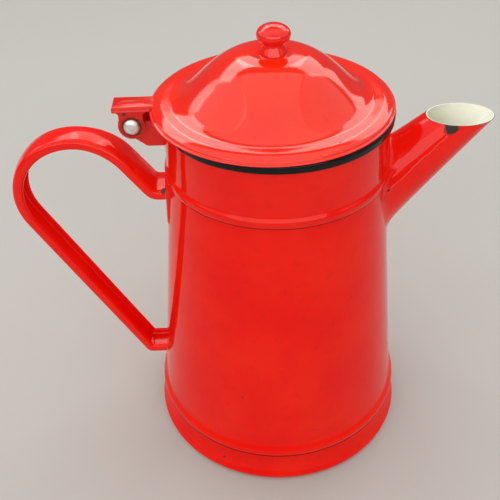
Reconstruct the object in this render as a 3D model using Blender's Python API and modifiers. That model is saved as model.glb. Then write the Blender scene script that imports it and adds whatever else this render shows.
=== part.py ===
"""Enamelled sheet-steel coffee pot with a hinged lid, a side spout and a channel handle.

Lengths are in metres. The origin is the centre of the base, on the surface that the pot
stands on. +Z is up, the spout points to +X, and the handle and the lid's hinge are at -X.
"""
import math

import bmesh
import bpy
from mathutils import Matrix, Vector

# Sheet, clearances and facets
SHEET = 0.0011                  # body, base, neck, spout and handle
THIN_SHEET = 0.0010             # lid, lid ring and lid strap
SEAT_GAP = 0.0003               # between pieces that touch
CUT_OVERRUN = 0.006             # how far a cutter runs past what it cuts
WELD_DISTANCE = 0.000001
BODY_FACETS = 48
SMALL_FACETS = 24
ROUND_END_STEPS = 2
SMOOTH_ANGLE = math.radians(40.0)
QUARTER_TURN = 90.0
HALF_TURN = 180.0
FULL_TURN = 360.0

# Conical wall and base
WALL_FOOT_RADIUS = 0.0614       # outer radius of the cone at its foot
WALL_TOP_RADIUS = 0.0492        # outer radius of the cone where the neck laps over it
WALL_HEIGHT = 0.125             # from the cone's foot up to the neck band's lower edge
WALL_LIP_HEIGHT = 0.0075        # the wall's lip, from the cone's foot down
BASE_LAP_HEIGHT = 0.0165        # lower edge of the wall
WALL_LIP_FLARE = 0.0006         # the wall's lower lip swells past the cone by this much
BASE_FLARE = 0.0036             # the base's heel stands out past the cone's foot
BASE_HEEL_RADIUS = 0.0030
BASE_COLLAR_HEIGHT = 0.0042     # the base stands up inside the wall by this much
SKIRT_SHARES = (0.3, 0.65)
LIP_SHARES = (0.45, 1.0)
NECK_LAP_SHARE = 0.55           # the wall stands up inside the neck's bead

# Neck band and rim
NECK_STEP = 0.0004              # the neck's radius past the cone's top
NECK_HEIGHT = 0.027             # from the band's lower edge up to the rim
NECK_BEAD_PROUD = 0.0012
NECK_BEAD_HEIGHT = 0.0058
NECK_BEAD_SHARES = ((0.2, 0.42), (0.46, 1.0), (0.9, 0.8))     # down the bead, and out
RIM_HEIGHT = 0.0037             # height of the rolled rim
RIM_PROUD = 0.0014              # the rim stands out past the neck
RIM_ROLL_RADIUS = 0.0011

# Strainer holes in the wall behind the spout
STRAINER_HOLE_RADIUS = 0.0018
STRAINER_PITCH = 0.0066
STRAINER_ROWS = (4, 5, 4)
STRAINER_ROW_SHARE = 0.866
STRAINER_DROP = 0.0186          # centre row, below the neck band

# Spout
SPOUT_ROOT_DROP = 0.0091        # where the spout's axis meets the wall, below the neck band
SPOUT_REACH = 0.0320            # from there out to the middle of the mouth
SPOUT_RISE = 0.0317             # and up to it
SPOUT_ROOT_RADIUS = 0.0153
SPOUT_MOUTH_RADIUS = 0.0104
SPOUT_ROOT_SWELL = 0.0003       # the tube's belly where it leaves the wall
SPOUT_RINGS = 6
SPOUT_FACETS = 36
SPOUT_FLANGE_WIDTH = 0.0040
SPOUT_FLANGE_DROP = 0.0020      # the flange's centre, below the height of the spout's root
SPOUT_FLANGE_HALF_HEIGHT = 0.0234
SPOUT_FLANGE_SHEET = 0.0007

# Lid
LID_OVERHANG = 0.0017           # the lid's edge past the rim
LID_SETBACK = 0.0020            # the lid's centre sits this far back towards its hinge
BRIM_WIDTH = 0.0096             # from the dome's foot out to the lid's edge
BRIM_FLAT_WIDTH = 0.0032        # the brim starts with a level ring of this width
BRIM_RISE = 0.0052
BRIM_POWER = 1.2                # and then rounds down to the edge
BRIM_SHARES = (0.25, 0.6)
DOME_HEIGHT = 0.0189
DOME_POWER = 1.87
DOME_SHARES = (0.2, 0.36, 0.5, 0.62, 0.74, 0.86)
LID_RING_PLAY = 0.0012          # at its tightest side, inside the rim
LID_RING_DEPTH = 0.0110
LID_RING_FLANGE = 0.0026

# Knob and its rivet
KNOB_RADIUS = 0.0072
KNOB_BALL_HEIGHT = 0.0087
KNOB_HEIGHT = 0.0108
KNOB_WAIST_RADIUS = 0.0055
KNOB_FOOT_RADIUS = 0.0063
KNOB_SEAT_RADIUS = 0.0076       # flat pressed into the dome's top under the knob
KNOB_SEAT_DROP = 0.0006
KNOB_SHIFT = 0.0009             # the knob sits this far forward of the lid's centre
KNOB_FOOT_SHARES = ((0.75, 0.0), (0.4, 0.2), (0.1, 0.7))
STUD_RADIUS = 0.0015
STUD_LENGTH = 0.0055
STUD_HEAD_RADIUS = 0.0036
STUD_HEAD_HEIGHT = 0.0015

# Hinge
HINGE_REACH = 0.0114            # pin axis, out from the rim
HINGE_DROP = 0.0057             # pin axis, down from the rim's top
STRAP_HALF_WIDTH = 0.0065
STRAP_BEND_RADIUS = 0.0022
STRAP_TOP_CLEARANCE = 0.0085    # strap's top above the pin axis
STRAP_EAR_RADIUS = 0.0059
STRAP_CHEEK_HALF_LENGTH = 0.0050
STRAP_LIP_LENGTH = 0.0029       # thumb lip past the cheeks
STRAP_LIP_DROP = 0.0013
STRAP_NOTCH_DROP = 0.0028
STRAP_ROOT_LENGTH = 0.0020
STRAP_BEAD_LENGTH = 0.0085
STRAP_BEAD_RADIUS = 0.0014
STRAP_BEAD_PROUD = 0.0007
BRACKET_SHEET = 0.0011
BRACKET_EAR_RADIUS = 0.0061
BRACKET_SIDE_PLAY = 0.00035     # between each bracket cheek and the strap's cheek outside it
BRACKET_FOOT_DROP = 0.0105      # the bracket's lower edge below the pin axis
BRACKET_SHOULDER_SHARE = 0.45
BRACKET_BEND_RADIUS = 0.0011
PIN_RADIUS = 0.0016
PIN_PLAY = 0.0003
PIN_HEAD_RADIUS = 0.0032
PIN_HEAD_HEIGHT = 0.0017

# Handle and its saddle
HANDLE_DROP = 0.0068            # upper face of the handle's upper end, below the neck band
HANDLE_FOOT_HEIGHT = 0.0357     # under face of its lower end
HANDLE_HALF_WIDTH = 0.0074
HANDLE_DEPTH = 0.0054
HANDLE_CORNER_RADIUS = 0.0022
HANDLE_ROLL_RADIUS = 0.0010
HANDLE_CROWN = 0.0005
HANDLE_FOOT_RUN = 0.0015
HANDLE_FOOT_BEND = 0.0040
HANDLE_RISE_ANGLE = 126.0       # heading of the rising run, from +X
HANDLE_RISE_LENGTH = 0.0153
HANDLE_BOW_RADIUS = 0.0310
HANDLE_HEEL_RADIUS = 0.0045
HANDLE_HEEL_REACH = 0.0072      # from the wall out to the heel's bend
HANDLE_BOW_STEPS = 18
HANDLE_BEND_STEPS = 3
HANDLE_FOOT_SPREAD = 0.0018     # the upper end is wider by this much each side
HANDLE_SPREAD_RUN = 0.050       # and narrows to the handle's width over this run
HANDLE_SPREAD_POWER = 1.8
SADDLE_SHEET = 0.0019           # at its top, thinning to its lower edge
SADDLE_LOW_SHEET = 0.0006
SADDLE_HALF_WIDTH = 0.0105
SADDLE_HEIGHT = 0.0262
SADDLE_CORNER_RADIUS = 0.0050
SADDLE_RISE = 0.0060            # its upper edge above the handle's upper face

# Places worked out from the sizes above
WALL_FOOT_HEIGHT = BASE_LAP_HEIGHT + WALL_LIP_HEIGHT
NECK_LAP_HEIGHT = WALL_FOOT_HEIGHT + WALL_HEIGHT
RIM_BOTTOM_HEIGHT = NECK_LAP_HEIGHT + NECK_HEIGHT
RIM_TOP_HEIGHT = RIM_BOTTOM_HEIGHT + RIM_HEIGHT
SPOUT_ROOT_HEIGHT = NECK_LAP_HEIGHT - SPOUT_ROOT_DROP
HANDLE_TOP_HEIGHT = NECK_LAP_HEIGHT - HANDLE_DROP
SADDLE_TOP_HEIGHT = HANDLE_TOP_HEIGHT + SADDLE_RISE
NECK_RADIUS = WALL_TOP_RADIUS + NECK_STEP
RIM_RADIUS = NECK_RADIUS + RIM_PROUD
LID_RADIUS = RIM_RADIUS + LID_OVERHANG
BRIM_FALL_WIDTH = BRIM_WIDTH - BRIM_FLAT_WIDTH
BRIM_SLOPE = math.atan2(BRIM_RISE * BRIM_POWER, BRIM_FALL_WIDTH)
LID_OVER_ROLL = LID_RADIUS - LID_SETBACK - RIM_RADIUS + RIM_ROLL_RADIUS
LID_REST_REACH = RIM_ROLL_RADIUS + SEAT_GAP
LID_CORNER_REACH = LID_OVER_ROLL - THIN_SHEET * math.sin(BRIM_SLOPE)
if LID_CORNER_REACH < LID_REST_REACH * math.sin(BRIM_SLOPE):
    # The brim's lower corner comes nearest to the rolled rim
    LID_LIFT = math.sqrt(max(LID_REST_REACH ** 2 - LID_CORNER_REACH ** 2, 0))
    LID_LIFT += THIN_SHEET * math.cos(BRIM_SLOPE)
else:
    # The brim's sloping underside comes nearest to it
    LID_LIFT = LID_REST_REACH + THIN_SHEET - LID_OVER_ROLL * math.sin(BRIM_SLOPE)
    LID_LIFT /= math.cos(BRIM_SLOPE)
LID_EDGE_HEIGHT = RIM_TOP_HEIGHT - RIM_ROLL_RADIUS + LID_LIFT
DOME_RADIUS = LID_RADIUS - BRIM_WIDTH
DOME_FOOT_HEIGHT = LID_EDGE_HEIGHT + BRIM_RISE
DOME_TOP_HEIGHT = DOME_FOOT_HEIGHT + DOME_HEIGHT
KNOB_SEAT_HEIGHT = DOME_TOP_HEIGHT - KNOB_SEAT_DROP
HINGE_X = -(RIM_RADIUS + HINGE_REACH)
HINGE_Z = RIM_TOP_HEIGHT - HINGE_DROP
HINGE = Vector((HINGE_X, 0, HINGE_Z))
UP = Vector((0, 0, 1))
ACROSS = Vector((0, 1, 0))


def reset_scene():
    """An empty scene with a collection for the pot and one for its cutters."""
    for item in list(bpy.data.objects):
        bpy.data.objects.remove(item, do_unlink=True)
    made = []
    for title in ("enamel_coffee_pot", "cutters"):
        collection = bpy.data.collections.new(title)
        bpy.context.scene.collection.children.link(collection)
        made.append(collection)
    return made


PARTS, CUTTERS = reset_scene()


def make_material(name, colour, roughness, metallic=0.0):
    """A Principled BSDF material of one colour."""
    material = bpy.data.materials.new(name)
    material.use_nodes = True
    shader = material.node_tree.nodes["Principled BSDF"]
    shader.inputs["Base Color"].default_value = (*colour, 1.0)
    shader.inputs["Roughness"].default_value = roughness
    shader.inputs["Metallic"].default_value = metallic
    material.diffuse_color = (*colour, 1.0)
    return material


RED_ENAMEL = make_material("red_enamel", (0.78, 0.012, 0.006), 0.12)
RED_ENAMEL_HANDLE = make_material("red_enamel_handle", (0.80, 0.014, 0.006), 0.15)
RED_ENAMEL_HINGE = make_material("red_enamel_hinge", (0.62, 0.010, 0.008), 0.22)
CREAM_ENAMEL = make_material("cream_enamel", (0.86, 0.84, 0.74), 0.14)
BLACK_ENAMEL = make_material("black_enamel", (0.012, 0.012, 0.014), 0.18)
ALUMINIUM = make_material("aluminium", (0.80, 0.80, 0.78), 0.30, metallic=1.0)


def add_object(name, mesh, collection=PARTS, material=None):
    """A new object that holds the mesh, smooth over its round faces."""
    item = bpy.data.objects.new(name, mesh)
    collection.objects.link(item)
    if material:
        mesh.materials.append(material)
    return item


def hide_cutter(item):
    """A cutter shows as wires and isn't rendered."""
    item.hide_render = True
    item.display_type = "WIRE"
    return item


def settle(item):
    """Turn the object's modifiers into plain mesh."""
    graph = bpy.context.evaluated_depsgraph_get()
    mesh = bpy.data.meshes.new_from_object(item.evaluated_get(graph))
    item.modifiers.clear()
    item.data = mesh
    return item


def smooth(item):
    """Smooth shading, with creases where the sheet turns sharply."""
    item.data.shade_smooth()
    item.data.set_sharp_from_angle(angle=SMOOTH_ANGLE)
    return item


def combine(item, other, operation):
    """Cut the object with another one, or join or intersect them, and weld what falls together."""
    boolean = item.modifiers.new(operation.lower(), "BOOLEAN")
    boolean.operation = operation
    boolean.solver = "EXACT"
    boolean.object = other
    settle(item)
    shape = bmesh.new()
    shape.from_mesh(item.data)
    bmesh.ops.remove_doubles(shape, verts=shape.verts, dist=WELD_DISTANCE)
    shape.to_mesh(item.data)
    shape.free()
    return item


def paint(item, material, is_inside):
    """Give a second material to the faces that the test picks."""
    item.data.materials.append(material)
    slot = len(item.data.materials) - 1
    for face in item.data.polygons:
        if is_inside(face.center, face.normal):
            face.material_index = slot


def arc(centre, radius, start, end, steps):
    """Points on an arc, in degrees counter-clockwise from the first axis."""
    points = []
    for step in range(steps + 1):
        angle = math.radians(start + (end - start) * step / steps)
        points.append((centre[0] + radius * math.cos(angle), centre[1] + radius * math.sin(angle)))
    return points


def inset(line, depth):
    """The line moved by depth to the right of its travel, which is inwards for one that runs down."""
    points = [Vector(point) for point in line]
    sides = []
    for first, second in zip(points, points[1:]):
        along = (second - first).normalized()
        sides.append(Vector((along.y, -along.x)))
    moved = []
    for index, point in enumerate(points):
        before = sides[max(index - 1, 0)]
        after = sides[min(index, len(sides) - 1)]
        mitre = (before + after) / (1 + before.dot(after))
        moved.append(tuple(point + mitre * depth))
    return moved


def round_end(outer, inner, steps=ROUND_END_STEPS):
    """The points of a half-round sheet edge, from its outer corner to its inner one."""
    outer, inner = Vector(outer), Vector(inner)
    middle = (outer + inner) / 2
    side = outer - middle
    ahead = Vector((side.y, -side.x)) * -1
    points = []
    for step in range(1, steps + 1):
        angle = math.pi * step / (steps + 1)
        points.append(tuple(middle + side * math.cos(angle) + ahead * math.sin(angle)))
    return points


def sheet_outline(line, thickness):
    """The closed outline of a sheet whose outer face is the line, with half-round edges."""
    inner = inset(line, thickness)
    tail = round_end(line[-1], inner[-1])
    head = round_end(inner[0], line[0])
    return list(line) + tail + inner[::-1] + head


def turned(name, outline, facets, material=None, closed=True, collection=PARTS):
    """A solid of revolution about Z. Its outline runs down the outer side."""
    mesh = bpy.data.meshes.new(name)
    edges = [(index, index + 1) for index in range(len(outline) - 1)]
    if closed:
        edges.append((len(outline) - 1, 0))
    mesh.from_pydata([(radius, 0, height) for radius, height in outline], edges, [])
    item = add_object(name, mesh, collection, material)
    screw = item.modifiers.new("turn", "SCREW")
    screw.axis = "Z"
    screw.steps = facets
    screw.render_steps = facets
    screw.use_merge_vertices = True
    screw.merge_threshold = WELD_DISTANCE
    screw.use_smooth_shade = True
    return settle(item)


def extruded(name, points, direction, material=None, collection=PARTS):
    """A flat outline of 3D points, drawn out along a direction into a solid."""
    shape = bmesh.new()
    corners = [shape.verts.new(point) for point in points]
    base = shape.faces.new(corners)
    grown = bmesh.ops.extrude_face_region(shape, geom=[base])
    moved = [part for part in grown["geom"] if isinstance(part, bmesh.types.BMVert)]
    bmesh.ops.translate(shape, verts=moved, vec=direction)
    bmesh.ops.recalc_face_normals(shape, faces=shape.faces)
    mesh = bpy.data.meshes.new(name)
    shape.to_mesh(mesh)
    shape.free()
    return add_object(name, mesh, collection, material)


def lofted(name, rings, material=None, collection=PARTS):
    """A closed solid through rings of points, each with as many points as the next."""
    shape = bmesh.new()
    rows = [[shape.verts.new(point) for point in ring] for ring in rings]
    count = len(rows[0])
    for lower, upper in zip(rows, rows[1:]):
        for index in range(count):
            after = (index + 1) % count
            shape.faces.new((lower[index], lower[after], upper[after], upper[index]))
    shape.faces.new(rows[0][::-1])
    shape.faces.new(rows[-1])
    bmesh.ops.recalc_face_normals(shape, faces=shape.faces)
    mesh = bpy.data.meshes.new(name)
    shape.to_mesh(mesh)
    shape.free()
    return add_object(name, mesh, collection, material)


def cylinder(name, radius, length, centre, axis, facets=SMALL_FACETS):
    """A cutting cylinder about a centre, along an axis."""
    shape = bmesh.new()
    turn = UP.rotation_difference(axis).to_matrix().to_4x4()
    bmesh.ops.create_cone(shape, cap_ends=True, segments=facets, radius1=radius, radius2=radius,
                          depth=length, matrix=Matrix.Translation(centre) @ turn)
    mesh = bpy.data.meshes.new(name)
    shape.to_mesh(mesh)
    shape.free()
    return hide_cutter(add_object(name, mesh, CUTTERS))


def cone_radius(height):
    """Outer radius of the conical wall, or of its cone carried on, at a height."""
    share = (height - WALL_FOOT_HEIGHT) / (NECK_LAP_HEIGHT - WALL_FOOT_HEIGHT)
    return WALL_FOOT_RADIUS + (WALL_TOP_RADIUS - WALL_FOOT_RADIUS) * share


def lip_line():
    """The wall's lower lip, from the cone's foot down to its lapped edge."""
    line = []
    for share in LIP_SHARES:
        height = WALL_FOOT_HEIGHT + (BASE_LAP_HEIGHT + SHEET / 2 - WALL_FOOT_HEIGHT) * share
        line.append((cone_radius(height) + WALL_LIP_FLARE * math.sin(math.pi / 2 * share), height))
    return line


def neck_line():
    """The neck band's outer face, from under the rim down over its bead."""
    line = [(NECK_RADIUS, RIM_BOTTOM_HEIGHT), (NECK_RADIUS, NECK_LAP_HEIGHT + NECK_BEAD_HEIGHT)]
    for share, swell in NECK_BEAD_SHARES:
        line.append((NECK_RADIUS + NECK_BEAD_PROUD * swell,
                     NECK_LAP_HEIGHT + NECK_BEAD_HEIGHT * (1 - share)))
    return line


def body_line():
    """The outer face of neck and wall together, which other pieces seat against."""
    return neck_line() + [(cone_radius(NECK_LAP_HEIGHT), NECK_LAP_HEIGHT),
                          (WALL_FOOT_RADIUS, WALL_FOOT_HEIGHT)] + lip_line()


def body_cutter(name, clearance):
    """A solid of the body's outer shape, grown by a clearance."""
    grown = inset(body_line(), -clearance)
    top = (grown[0][0], RIM_BOTTOM_HEIGHT + CUT_OVERRUN)
    outline = [(0, top[1]), top] + grown[1:] + [(0, grown[-1][1])]
    return hide_cutter(turned(name, outline, BODY_FACETS, closed=False, collection=CUTTERS))


def is_cavity_side(centre, normal):
    """Whether a face of the body looks into the pot."""
    return normal.x * centre.x + normal.y * centre.y < 0 or normal.z > math.cos(SMOOTH_ANGLE)


def make_base_pan():
    """Pressed base: flat floor, round heel and flared skirt, with a collar inside the wall."""
    def collar(height):
        return (cone_radius(height) - SHEET - SEAT_GAP - SEAT_GAP / 2, height)
    heel_radius = WALL_FOOT_RADIUS + BASE_FLARE
    waist = collar(BASE_LAP_HEIGHT)
    line = [collar(BASE_LAP_HEIGHT + BASE_COLLAR_HEIGHT), waist]
    for share in SKIRT_SHARES:
        line.append((waist[0] + (heel_radius - waist[0]) * share ** 2,
                     waist[1] + (BASE_HEEL_RADIUS - waist[1]) * share))
    line += arc((heel_radius - BASE_HEEL_RADIUS, BASE_HEEL_RADIUS), BASE_HEEL_RADIUS,
                0, -QUARTER_TURN, 3)
    line.append((0, 0))
    inner = inset(line, SHEET)
    outline = [(0, inner[-1][1])] + inner[-2::-1] + round_end(inner[0], line[0]) + line
    pan = turned("base_pan", outline, BODY_FACETS, RED_ENAMEL, closed=False)
    paint(pan, CREAM_ENAMEL, is_cavity_side)
    return smooth(pan)


def strainer_cutter():
    """Rows of short cylinders through the wall behind the spout."""
    shape = bmesh.new()
    turn = UP.rotation_difference(Vector((1, 0, 0))).to_matrix().to_4x4()
    middle = (len(STRAINER_ROWS) - 1) / 2
    for row, count in enumerate(STRAINER_ROWS):
        height = (NECK_LAP_HEIGHT - STRAINER_DROP
                  + (row - middle) * STRAINER_PITCH * STRAINER_ROW_SHARE)
        for column in range(count):
            across = (column - (count - 1) / 2) * STRAINER_PITCH
            centre = Vector((cone_radius(height), across, height))
            bmesh.ops.create_cone(shape, cap_ends=True, segments=SMALL_FACETS // 2,
                                  radius1=STRAINER_HOLE_RADIUS, radius2=STRAINER_HOLE_RADIUS,
                                  depth=CUT_OVERRUN * 2,
                                  matrix=Matrix.Translation(centre) @ turn)
    mesh = bpy.data.meshes.new("strainer_cutter")
    shape.to_mesh(mesh)
    shape.free()
    return hide_cutter(add_object("strainer_cutter", mesh, CUTTERS))


def make_body_wall():
    """Conical wall, its lower lip lapped over the base and its strainer holes behind the spout."""
    top = NECK_LAP_HEIGHT + NECK_BEAD_HEIGHT * NECK_LAP_SHARE
    line = [(cone_radius(top), top), (WALL_FOOT_RADIUS, WALL_FOOT_HEIGHT)] + lip_line()
    wall = turned("body_wall", sheet_outline(line, SHEET), BODY_FACETS, RED_ENAMEL)
    combine(wall, strainer_cutter(), "DIFFERENCE")
    paint(wall, CREAM_ENAMEL, is_cavity_side)
    return smooth(wall)


def make_neck_band():
    """Neck band with a bead lapped over the wall and a black rim rolled at its top."""
    line = neck_line()
    inner = inset(line, SHEET)
    bore = NECK_RADIUS - SHEET
    rim = arc((bore + RIM_ROLL_RADIUS, RIM_TOP_HEIGHT - RIM_ROLL_RADIUS), RIM_ROLL_RADIUS,
              HALF_TURN, QUARTER_TURN, 2)
    rim += arc((RIM_RADIUS - RIM_ROLL_RADIUS, RIM_TOP_HEIGHT - RIM_ROLL_RADIUS), RIM_ROLL_RADIUS,
               QUARTER_TURN, 0, 2)
    rim.append((RIM_RADIUS, RIM_BOTTOM_HEIGHT + RIM_ROLL_RADIUS / 2))
    rim.append((RIM_RADIUS - RIM_ROLL_RADIUS / 2, RIM_BOTTOM_HEIGHT))
    outline = rim + line + round_end(line[-1], inner[-1]) + inner[:0:-1]
    band = turned("neck_band", outline, BODY_FACETS, RED_ENAMEL)
    paint(band, CREAM_ENAMEL, is_cavity_side)
    paint(band, BLACK_ENAMEL, lambda centre, normal: centre.z > RIM_BOTTOM_HEIGHT - WELD_DISTANCE)
    return smooth(band)


def spout_frame():
    """The spout's root, its axis, the direction up across it, and its length."""
    root = Vector((cone_radius(SPOUT_ROOT_HEIGHT), 0, SPOUT_ROOT_HEIGHT))
    run = Vector((SPOUT_REACH, 0, SPOUT_RISE))
    axis = run.normalized()
    return root, axis, axis.cross(ACROSS) * -1, run.length


def spout_rings(depth, overrun):
    """Rings of the spout's tube, a wall's depth in from its outer face, cut level at the mouth."""
    root, axis, over, length = spout_frame()
    mouth_height = root.z + SPOUT_RISE + overrun
    start = -SPOUT_ROOT_RADIUS * 2
    rings = []
    for step in range(SPOUT_RINGS + 1):
        share = step / SPOUT_RINGS
        ring = []
        for facet in range(SPOUT_FACETS):
            angle = math.radians(FULL_TURN * facet / SPOUT_FACETS)
            spoke = over * math.cos(angle) + ACROSS * math.sin(angle)

            def on_tube(distance):
                along = distance / length
                radius = SPOUT_ROOT_RADIUS + (SPOUT_MOUTH_RADIUS - SPOUT_ROOT_RADIUS) * along
                radius += SPOUT_ROOT_SWELL * math.exp(-(along * 3) ** 2)
                return root + axis * distance + spoke * (radius - depth)
            reach = length
            for _ in range(SPOUT_RINGS):
                reach += (mouth_height - on_tube(reach).z) / axis.z
            ring.append(on_tube(start + (reach - start) * share))
        rings.append(ring)
    return rings


def spout_flange_outline():
    """The flange's oval, seen along X, round the spout's root."""
    side = SPOUT_ROOT_RADIUS + SPOUT_ROOT_SWELL + SPOUT_FLANGE_WIDTH
    middle = SPOUT_ROOT_HEIGHT - SPOUT_FLANGE_DROP
    start = cone_radius(SPOUT_ROOT_HEIGHT) - CUT_OVERRUN * 2
    return [(start, y * side, middle + z * SPOUT_FLANGE_HALF_HEIGHT)
            for y, z in arc((0, 0), 1, 0, FULL_TURN, SPOUT_FACETS)[:-1]]


def make_spout():
    """Tapered tube with a level mouth, on a flange that hugs the wall and the neck's bead."""
    spout = extruded("spout", spout_flange_outline(), Vector((CUT_OVERRUN * 6, 0, 0)), RED_ENAMEL)
    combine(spout, body_cutter("flange_outer_cutter", SEAT_GAP + SPOUT_FLANGE_SHEET), "INTERSECT")
    tube = hide_cutter(lofted("spout_tube", spout_rings(0, 0), collection=CUTTERS))
    combine(spout, tube, "UNION")
    combine(spout, body_cutter("spout_seat_cutter", SEAT_GAP), "DIFFERENCE")
    bore = hide_cutter(lofted("spout_bore", spout_rings(SHEET, CUT_OVERRUN), collection=CUTTERS))
    combine(spout, bore, "DIFFERENCE")
    root, axis, over, length = spout_frame()

    def in_bore(centre, normal):
        out = centre - root
        out -= axis * out.dot(axis)
        return out.dot(normal) < 0 and out.length < SPOUT_ROOT_RADIUS + SPOUT_ROOT_SWELL
    paint(spout, CREAM_ENAMEL, in_bore)
    return smooth(spout)


def lid_height(radius):
    """Height of the lid's upper face at a distance from the lid's centre."""
    if radius < DOME_RADIUS:
        swing = math.pi * (radius / DOME_RADIUS) ** DOME_POWER
        return DOME_FOOT_HEIGHT + DOME_HEIGHT * (1 + math.cos(swing)) / 2
    fall = max(radius - DOME_RADIUS - BRIM_FLAT_WIDTH, 0) / BRIM_FALL_WIDTH
    return DOME_FOOT_HEIGHT - BRIM_RISE * fall ** BRIM_POWER


def lid_line():
    """The lid's upper face, from its dome out to its edge."""
    line = [(DOME_RADIUS * share, lid_height(DOME_RADIUS * share)) for share in DOME_SHARES]
    line.append((DOME_RADIUS, DOME_FOOT_HEIGHT))
    for share in (0,) + BRIM_SHARES:
        radius = DOME_RADIUS + BRIM_FLAT_WIDTH + BRIM_FALL_WIDTH * share
        line.append((radius, lid_height(radius)))
    line.append((LID_RADIUS, LID_EDGE_HEIGHT))
    return line


def move_to_lid(item, shift=0):
    """Put a piece that was turned about Z on the lid's own centre, or forward of it."""
    item.data.transform(Matrix.Translation((shift - LID_SETBACK, 0, 0)))
    return item


def hang_on_hinge(item):
    """Give a moving piece its origin on the hinge's axis."""
    item.data.transform(Matrix.Translation(-HINGE))
    item.parent = LID_PIVOT
    return item


def make_lid():
    """Bell-shaped lid with a sloping brim, pierced for the knob's rivet."""
    line = [(0, KNOB_SEAT_HEIGHT), (KNOB_SEAT_RADIUS, KNOB_SEAT_HEIGHT)] + lid_line()
    inner = inset(line, THIN_SHEET)
    outline = line + round_end(line[-1], inner[-1], ROUND_END_STEPS + 1) + inner[::-1]
    lid = move_to_lid(turned("lid", outline, BODY_FACETS, RED_ENAMEL, closed=False))
    centre = Vector((KNOB_SHIFT - LID_SETBACK, 0, KNOB_SEAT_HEIGHT))
    hole = cylinder("lid_rivet_cutter", STUD_RADIUS + SEAT_GAP, CUT_OVERRUN, centre, UP)
    combine(lid, hole, "DIFFERENCE")
    paint(lid, CREAM_ENAMEL, lambda centre, normal: normal.z < 0)
    return hang_on_hinge(smooth(lid))


def make_lid_ring():
    """Ring under the brim that keeps the closed lid centred in the neck."""
    outer = NECK_RADIUS - SHEET - LID_SETBACK - LID_RING_PLAY
    under = THIN_SHEET + SEAT_GAP
    bend = outer - THIN_SHEET / 2
    flange = outer - LID_RING_FLANGE
    line = [(flange, lid_height(flange) - under), (bend, lid_height(bend) - under)]
    line.append((outer, line[-1][1] - THIN_SHEET))
    line.append((outer, line[-1][1] - LID_RING_DEPTH))
    ring = turned("lid_ring", sheet_outline(line, THIN_SHEET), BODY_FACETS, CREAM_ENAMEL)
    return hang_on_hinge(smooth(move_to_lid(ring)))


def make_knob():
    """Flattened ball on a waisted foot, bored below for its rivet."""
    foot = KNOB_SEAT_HEIGHT + SEAT_GAP
    ball = foot + KNOB_HEIGHT - KNOB_BALL_HEIGHT / 2
    waist = -math.degrees(math.acos(min(KNOB_WAIST_RADIUS / KNOB_RADIUS, 1)))
    line = []
    for x, z in arc((0, 0), 1, QUARTER_TURN, waist, 7):
        line.append((KNOB_RADIUS * x, ball + KNOB_BALL_HEIGHT / 2 * z))
    line[0] = (0, line[0][1])
    low = line[-1][1]
    for height_share, spread_share in KNOB_FOOT_SHARES:
        line.append((KNOB_WAIST_RADIUS + (KNOB_FOOT_RADIUS - KNOB_WAIST_RADIUS) * spread_share,
                     foot + (low - foot) * height_share))
    line.append((KNOB_FOOT_RADIUS, foot))
    bore = STUD_RADIUS + SEAT_GAP
    line += [(bore, foot), (bore, foot + STUD_LENGTH), (0, foot + STUD_LENGTH)]
    knob = turned("lid_knob", line, SMALL_FACETS, RED_ENAMEL, closed=False)
    return hang_on_hinge(smooth(move_to_lid(knob, KNOB_SHIFT)))


def make_knob_rivet():
    """Rivet under the dome whose shank holds the knob."""
    seat = KNOB_SEAT_HEIGHT - THIN_SHEET - SEAT_GAP
    top = KNOB_SEAT_HEIGHT + STUD_LENGTH
    line = [(0, top), (STUD_RADIUS, top), (STUD_RADIUS, seat)]
    for x, z in arc((0, 0), 1, 0, -QUARTER_TURN, 4):
        line.append((STUD_HEAD_RADIUS * x, seat - STUD_HEAD_HEIGHT * -z))
    line[-1] = (0, line[-1][1])
    rivet = turned("knob_rivet", line, SMALL_FACETS, ALUMINIUM, closed=False)
    return hang_on_hinge(smooth(move_to_lid(rivet, KNOB_SHIFT)))


def strap_section():
    """The strap's bent sheet across the hinge: two legs under a flat top, as (y, z) points."""
    top = HINGE_Z + STRAP_TOP_CLEARANCE
    low = HINGE_Z - STRAP_EAR_RADIUS * 2
    corner = STRAP_HALF_WIDTH - STRAP_BEND_RADIUS
    line = [(-STRAP_HALF_WIDTH, low)]
    line += arc((-corner, top - STRAP_BEND_RADIUS), STRAP_BEND_RADIUS, HALF_TURN, QUARTER_TURN, 4)
    line += arc((corner, top - STRAP_BEND_RADIUS), STRAP_BEND_RADIUS, QUARTER_TURN, 0, 4)
    line.append((STRAP_HALF_WIDTH, low))
    return line + inset(line, THIN_SHEET)[::-1]


def strap_side():
    """The strap's outline seen from the side, as (x, z) points."""
    top = HINGE_Z + STRAP_TOP_CLEARANCE + STRAP_BEAD_PROUD * 2
    root = -(LID_RADIUS + LID_SETBACK) + STRAP_ROOT_LENGTH
    fold = HINGE_Z + STRAP_TOP_CLEARANCE
    left = HINGE_X - STRAP_CHEEK_HALF_LENGTH
    right = HINGE_X + STRAP_CHEEK_HALF_LENGTH
    lip = left - STRAP_LIP_LENGTH
    outline = [(root, top), (lip + STRAP_LIP_DROP / 2, top), (lip + STRAP_LIP_DROP / 4, fold)]
    outline += [(lip, fold - STRAP_LIP_DROP / 2), (lip + STRAP_LIP_DROP / 4, fold - STRAP_LIP_DROP)]
    outline += [(left, fold - STRAP_LIP_DROP), (left, fold - STRAP_NOTCH_DROP)]
    outline += arc((HINGE_X, HINGE_Z), STRAP_EAR_RADIUS, HALF_TURN - QUARTER_TURN / 3,
                   FULL_TURN + QUARTER_TURN / 3, 10)
    outline += [(right, fold - STRAP_NOTCH_DROP), (right + THIN_SHEET, fold - STRAP_LIP_DROP)]
    outline.append((root, fold - STRAP_LIP_DROP / 2))
    return outline


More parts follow.
